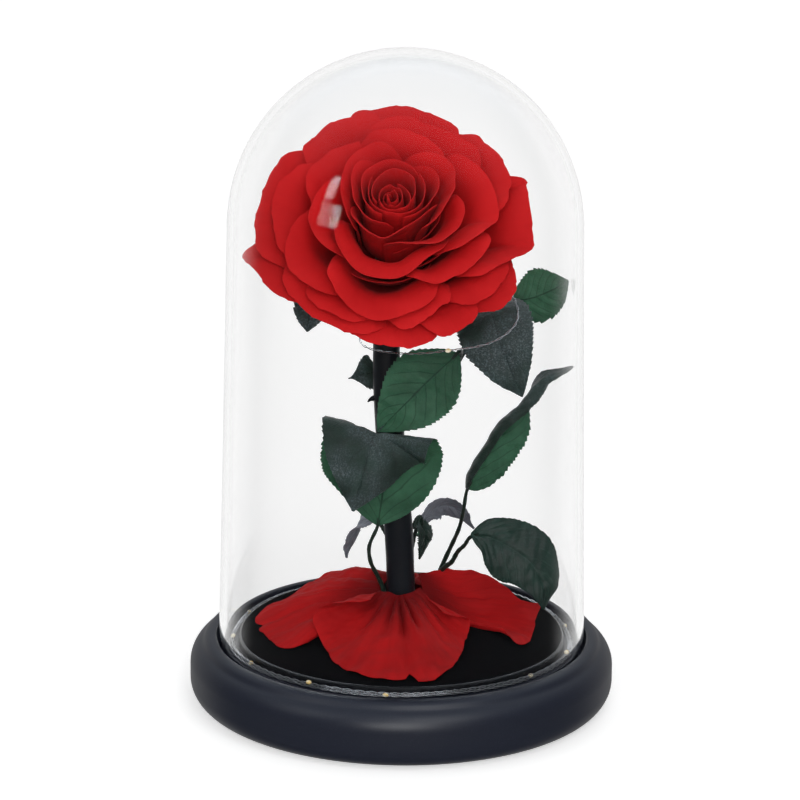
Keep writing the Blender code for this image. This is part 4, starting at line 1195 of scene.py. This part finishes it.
def leafWidth(t, leaf):
    widest = leaf["widest"]
    base = np.sin(math.pi / 2.0 * np.clip(t / widest, 0.0, 1.0)) ** leaf["round"]
    tip = np.cos(math.pi / 2.0 * np.clip((t - widest) / (1.0 - widest), 0.0, 1.0)) ** leaf["point"]
    return np.maximum(0.02, np.where(t < widest, base, tip))


def leafGrid(leaf, seed):
    count, across = leaf["stations"], leaf["across"]
    middle = smoothRoute(leaf["rib"], count)
    tangent = unit(np.gradient(middle, axis=0))
    t = np.linspace(0.0, 1.0, count)
    spread = []
    one = np.array(leaf["side"])
    for side in (one, np.array(leaf.get("otherSide", -one))):
        way = unit(side - tangent * (tangent @ side)[:, None])
        twist = np.radians(leaf["twist"]) * smoothStep(t, 0.40, 0.85)[:, None]
        spread.append(way * np.cos(twist) + np.cross(tangent, way) * np.sin(twist))
    face = unit(np.cross(tangent, spread[1] - spread[0]))
    even = np.linspace(-1.0, 1.0, across)
    grid = np.zeros((count, across, 3))
    size = leaf["halfWidth"]
    teeth = lengthOf(middle) / leaf["toothSpacing"]
    pairs = max(3.0, round(lengthOf(middle) / leaf["veinSpacing"]))
    # points crowd towards the midrib
    for c, off in enumerate(np.sign(even) * np.abs(even) ** 1.15):
        k = 0 if off < 0 else 1
        share = abs(off)
        # saw teeth that lean towards the tip, only at the margin
        saw = 1.0 - np.mod(t * teeth + 0.3 * k + 0.4 * np.sin(t * 17.0 + seed), 1.0)
        wave = 0.03 * np.sin(t * 9.0 + seed + 3.0 * k)
        tooth = 1.0 + share ** 10 * (leaf["tooth"] / size * (saw - 0.5) + wave)
        width = size * leafWidth(t, leaf) * tooth
        bend = math.radians(leaf["roll"][k])
        out = math.sin(bend * share) / bend
        lift = (1.0 - math.cos(bend * share)) / bend
        # side veins press in, the blade swells between them
        slope = (t - 0.34 * share ** 1.2) * pairs
        quilt = leaf["quilt"] * np.abs(np.sin(math.pi * slope)) * min(1.0, share * 4.0) * (1.0 - share ** 3)
        relief = leaf["upper"] * (quilt - leaf["groove"] * math.exp(-(share / 0.05) ** 2))
        grid[:, c] = middle + spread[k] * (out * width)[:, None] + face * (lift * width + relief)[:, None]
    slow, fine = leaf["crumple"]
    soft = slow * crumple(grid, 13.0, int(seed * 7) + 3) + fine * crumple(grid, 4.2, int(seed * 5) + 1)
    fade = np.minimum(1.0, leafWidth(t, leaf) * 2.0)[:, None]
    return grid + gridNormal(grid) * (soft * fade)[..., None]


def stalkPart(leaf):
    count = leaf["stalkPoints"]
    radii = leaf["stalkRadius"] * np.linspace(1.0, leaf["stalkThin"], count)
    radii = radii + 0.05 * np.sin(np.arange(count) * 0.9)
    return tubePart(smoothRoute(leaf["stalk"], count), radii, leaf["stalkSides"], 2)


def makeLeaves():
    for seed, (name, given) in enumerate(leaves.items(), 2):
        leaf = {**leafShape, **given}
        top, under = (0, 1) if leaf["upper"] > 0 else (1, 0)
        blade = sheetPart(leafGrid(leaf, float(seed)), leaf["thickness"], top, under, 0.6)
        names = [*leafFaces[leaf["face"]], "stalkGreen"]
        place(newPiece("rose_" + name, [blade, stalkPart(leaf)], names, 60.0), "leaves", name)
    print("leaves made")


makeLeaves()


# Petals laid round the stem's foot: the azimuths and heights between which the petal leaves the root's
# circle, its arch, how steeply it falls at first, how late it bends aside, a notch at an azimuth with its
# depth and width, creases near the stem as (share across, depth, width, reach), and the free edge as
# (azimuth, radius, height)

footPetals = {
    "foot_petal_front": {
        "root": (200, 328), "heights": (38.5, 39.5), "arch": 0.6, "fall": 1.35, "notch": (274, 5, 1.7),
        "folds": ((0.33, 1.1, 0.03, 0.75), (0.46, 1.9, 0.02, 0.5), (0.53, 2.3, 0.018, 0.58),
            (0.6, 1.5, 0.016, 0.45), (0.72, 1.4, 0.025, 0.85), (0.84, 1, 0.02, 0.7)),
        "edge": ((226, 15.6, 38.6), (212, 21.7, 38), (202, 25.5, 36.5), (198, 29, 34.5), (202, 31.5, 32),
            (208, 31, 28.5), (222, 33, 25.8), (240, 41, 25.2), (254, 46.8, 25.2), (263, 48.8, 25.2),
            (270, 48.6, 25.2), (280, 50.2, 25.2), (288, 44.8, 25.2), (299, 36.8, 25.2), (317, 27.4, 25.4),
            (334, 24, 26.2), (343, 23.6, 28.2), (344, 23.8, 30.2), (337, 20, 32), (325, 17, 34.5)),
    },
    "foot_petal_left": {
        "root": (114, 182), "heights": (41, 31), "arch": 3, "fall": 1, "notch": (183, 2.2, 1.5),
        "folds": ((0.3, 1, 0.05, 0.9), (0.52, 1.6, 0.02, 0.97), (0.74, 1.1, 0.03, 0.95)),
        "edge": ((108, 20, 37), (120, 28, 37), (132, 34.5, 36), (142, 37.6, 33.5), (152, 39.8, 31),
            (160, 42.5, 29), (169, 45.6, 28.4), (176, 48.4, 28), (186, 47.2, 26), (196, 45.2, 25.4),
            (206, 43.4, 25.3), (209, 40, 25.2), (207, 34, 25.4), (198, 29, 26.2)),
    },
    "foot_petal_right": {
        "root": (356, 400), "heights": (31, 42), "arch": -4.4, "fall": 1, "notch": (338, 0, 1),
        "sweep": 2.6,
        "folds": ((0.28, 1.3, 0.03, 0.9), (0.55, 1.2, 0.05, 0.9), (0.8, 0.9, 0.04, 0.9)),
        "edge": ((366, 15, 30), (367, 20, 27.6), (367, 24, 26.4), (366, 28, 25.8), (361, 31.6, 25.4),
            (353, 33.6, 26.4), (346, 36.4, 25.6), (339, 40.6, 25.2), (340, 43, 25.3), (348, 43.6, 26.2),
            (358, 44.6, 29.4), (365.5, 46.4, 32.8), (371, 41.6, 32), (379, 37, 35.2), (386, 32, 38.5),
            (393, 27, 40), (400, 21, 41.5)),
    },
    "foot_petal_back": {
        "root": (56, 86), "heights": (38, 39), "arch": 5, "fall": 1, "notch": (70, 0.8, 2),
        "folds": ((0.4, 0.8, 0.05, 0.9), (0.7, 0.8, 0.05, 0.9)),
        "edge": ((57, 18, 34), (61, 24, 30), (66, 28, 27), (76, 28, 26.5), (84, 25, 29), (88, 18, 34)),
    },
}
footShape = {
    "centre": (-0.4, 2.8),
    "radius": 7.6,
    "thickness": 0.36,
    "lowest": 24.7,
    "notchRadius": 40.0,       # a notch cuts only edges beyond this radius
    "rows": 34,
    "columns": 131,
    "edgeWaves": (0.45, 0.22, 0.5),
    "crumple": (0.34, 0.14),
}


def footPlan(petal, share, v, reach, out):
    # x and y: straight from the root's circle to the edge, or out first and bent aside late
    (cx, cy), inner = footShape["centre"], footShape["radius"]
    begin = np.radians(between(petal["root"], share))
    if "sweep" in petal:
        angle = begin + (out - begin) * v ** petal["sweep"]
        far = inner + (reach - inner) * v
        return cx * (1.0 - v) + far * np.cos(angle), cy * (1.0 - v) + far * np.sin(angle)
    x = cx + inner * np.cos(begin)
    y = cy + inner * np.sin(begin)
    return x + (reach * np.cos(out) - x) * v, y + (reach * np.sin(out) - y) * v


def footGrid(petal, seed):
    azimuth, radius, lip = (line[None, :] for line in smoothRoute(petal["edge"], footShape["columns"]).T)
    share = np.linspace(0.0, 1.0, footShape["columns"])[None, :]
    v = np.linspace(0.0, 1.0, footShape["rows"])[:, None]
    slow, fine, lift = footShape["edgeWaves"]
    where, depth, width = petal["notch"]
    cutIn = depth * np.exp(-((azimuth - where) / width) ** 2) * (radius > footShape["notchRadius"])
    cutIn = cutIn + slow * edgeWave(share * 2.0 - 1.0, seed, 9.0) + fine * edgeWave(share, seed + 2.0, 60.0)
    x, y = footPlan(petal, share, v, radius - cutIn, np.radians(azimuth))
    z = lip + (between(petal["heights"], share) - lip) * (1.0 - v) ** petal["fall"]
    z = z + petal["arch"] * np.sin(math.pi * v) * np.sin(math.pi * share)
    for middle, deep, wide, far in petal["folds"]:
        run = np.sin(math.pi * np.clip(v / far, 0.0, 1.0))
        bent = share - middle + 0.03 * (v - 0.4) * np.sin(9.0 * middle)
        # a crease with a low ridge beside it
        z = z - deep * run * (np.exp(-(bent / wide) ** 2) - 0.35 * np.exp(-(bent / wide - 2.2) ** 2))
    z = z + lift * edgeWave(share * 2.0 - 1.0, seed + 5.0, 7.0) * smoothStep(v, 0.7, 1.0)
    grid = np.stack([x, y, z], axis=2)
    slow, fine = footShape["crumple"]
    soft = slow * crumple(grid, 12.0, 60 + seed) + fine * crumple(grid, 4.0, 80 + seed)
    grid[..., 2] = np.maximum(z + soft, footShape["lowest"])
    return grid


def makeFootPetals():
    for seed, (name, petal) in enumerate(footPetals.items(), 1):
        part = sheetPart(footGrid(petal, seed), footShape["thickness"])
        place(newPiece("rose_" + name, [part], ["petalFallen"], 60.0), "petals", name)
    print("petals at the foot made")


makeFootPetals()


# Base, door, disc and dome

base = {
    "height": 23.0,
    "footRadius": 62.0,
    "creaseRadius": 66.0,
    "rimInner": 61.2,
    "grooveInner": 57.4,
    "grooveFloor": 17.0,
    "ledge": 21.5,
    "segments": 224,
    # the rounded side as two arcs: height of the centre, start and end in degrees, steps
    "sideRadius": 8.0,
    "sideArcs": ((8.6, -82, 0, 14), (13.4, 0, 58, 10)),
    # the rim as (in from the crease, below the top), then as (out from its inner wall, below the top)
    "rimOuter": ((0.35, 2.2), (0.7, 1.5), (1.4, 0.7), (2.4, 0.25)),
    "rimWall": ((1.2, 0.0), (0.5, 0.1), (0.12, 0.4), (0.0, 0.9)),
    "ledgeChamfer": 0.3,
    "doorSize": (58.0, 36.0),
    "doorThickness": 2.0,
    "doorCorner": 4.0,
    "gap": 0.3,
}


def roundedPlatePart(size, corner, low, high):
    outline = []
    for sx, sy, start in ((1, 1, 0), (-1, 1, 90), (-1, -1, 180), (1, -1, 270)):
        middle = (sx * (size[0] / 2 - corner), sy * (size[1] / 2 - corner))
        outline += arc(middle, corner, start, start + 90, 10)
    count = len(outline)
    points = np.array([(x, y, low) for x, y in outline] + [(x, y, high) for x, y in outline])
    faces = [list(range(count)), list(range(count, 2 * count))]
    faces += [[i, (i + 1) % count, count + (i + 1) % count, count + i] for i in range(count)]
    return points, faces, points[:, :2] / 100.0, [0] * len(faces)


def carve(piece, cutter):
    # cuts the cutter out of the piece for good and removes it
    cut = piece.modifiers.new("recess", "BOOLEAN")
    cut.operation = "DIFFERENCE"
    cut.object = cutter
    bpy.context.view_layer.update()
    seen = piece.evaluated_get(bpy.context.evaluated_depsgraph_get())
    mesh = bpy.data.meshes.new_from_object(seen)
    piece.modifiers.clear()
    piece.data = mesh
    bpy.data.objects.remove(cutter)


def makeBase():
    b = base
    top, groove, ledge = b["height"], b["grooveInner"], b["ledge"]
    profile = [(0.0, 0.0), (b["footRadius"] - 1.0, 0.0)]
    for middle, start, end, steps in b["sideArcs"]:
        profile += arc((b["footRadius"], middle), b["sideRadius"], start, end, steps)
    profile += [(b["creaseRadius"] - off, top - down) for off, down in b["rimOuter"]]
    profile += [(b["rimInner"] + off, top - down) for off, down in b["rimWall"]]
    profile += [(b["rimInner"], b["grooveFloor"]), (groove, b["grooveFloor"]),
                (groove, ledge - b["ledgeChamfer"]), (groove - b["ledgeChamfer"], ledge), (0.0, ledge)]
    piece = newPiece("displayBase", [turnedPart(profile, b["segments"])], ["baseSatin"], 30.0)
    gap = b["gap"]
    size = [side + 2 * gap for side in b["doorSize"]]
    recess = roundedPlatePart(size, b["doorCorner"] + gap, -1.0, b["doorThickness"] + gap)
    carve(piece, newPiece("recessCutter", [recess], ["baseSatin"], 30.0))
    piece.data.set_sharp_from_angle(angle=math.radians(30.0))
    place(piece, "base", "base")
    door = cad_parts["battery_door"]
    door.data.materials.clear()
    door.data.materials.append(finishes["doorPlastic"])
    print("base made")


disc = {
    "radius": 53.9,
    "top": 24.3,
    "edge": 0.8,
    "bore": 5.2,
    "foot": (0.4, 2.3),        # where the stem goes through
    "segments": 192,
}


def discPoint(radius, height, angle):
    # the bore sits a little off the middle
    off = 1.0 - (radius - disc["bore"]) / (disc["radius"] - disc["bore"])
    return (disc["foot"][0] * off + radius * math.cos(angle),
            disc["foot"][1] * off + radius * math.sin(angle), height)


def makeDisc():
    radius, top, edge, inner = (disc[key] for key in ("radius", "top", "edge", "bore"))
    low = base["ledge"] + base["gap"]
    profile = [(inner, low), (radius - 0.3, low), (radius, low + 0.4)]
    profile += arc((radius - edge, top - edge), edge, 0, 90, 8)
    flat = len(profile) - 1
    profile += [(radius * k / 8.0, top) for k in range(7, 1, -1)] + [(inner, top)]
    part = turnedPart(profile, disc["segments"], discPoint, lambda band: 1 if 1 <= band < flat else 0)
    place(newPiece("displayDisc", [part], ["discMatte", "discGloss"], 30.0), "disc", "display_disc")
    print("disc made")


dome = {
    "footRadius": 60.6,
    "shoulderRadius": 58.2,
    "shoulderHeight": 164.0,
    "wall": 2.4,
    "foot": 17.3,
    "segments": 192,
    "steps": 12,               # of the wall and of the rim
    "domeSteps": 56,
    "tint": (0.947, 0.947, 0.947),
    "ior": 1.36,
    "mirror": (0.15, 0.15, 0.15),   # weakens the mirror seen face on, which takes the haze off
}


def glassFinish():
    tree, shader = newFinish("domeGlass", 0.0, 0.5, {
        "IOR": dome["ior"], "Transmission Weight": 1.0, "Base Color": dome["tint"],
        "Specular Tint": dome["mirror"]})
    # the glass casts no shadow
    hideWhere(tree, shader, tree.nodes.new("ShaderNodeLightPath").outputs["Is Shadow Ray"])


def makeDome():
    d = dome
    wall, steps, start = d["wall"], d["steps"], d["foot"] + d["wall"] / 2
    centre = (0.0, d["shoulderHeight"])
    rim = arc((d["footRadius"] - wall / 2, start), wall / 2, 180, 360, steps)
    rise = [(d["footRadius"] + (d["shoulderRadius"] - d["footRadius"]) * k / steps,
             start + (d["shoulderHeight"] - start) * k / steps) for k in range(1, steps)]
    outer = rise + arc(centre, d["shoulderRadius"], 0, 90, d["domeSteps"])
    inner = arc(centre, d["shoulderRadius"] - wall, 90, 0, d["domeSteps"])
    inner += [(radius - wall, height) for radius, height in reversed(rise)]
    glassFinish()
    piece = newPiece("glassDome", [turnedPart(rim + outer + inner, d["segments"])], ["domeGlass"], 60.0)
    place(piece, "glass", "glass_dome")
    # the glass doesn't mirror the softboxes
    unlit = bpy.data.collections.new("unlit")
    unlit.objects.link(piece)
    unlit.collection_objects[0].light_linking.link_state = "EXCLUDE"
    for softbox in softboxes:
        softbox.light_linking.receiver_collection = unlit
    print("dome made")


makeBase()
makeDisc()
makeDome()
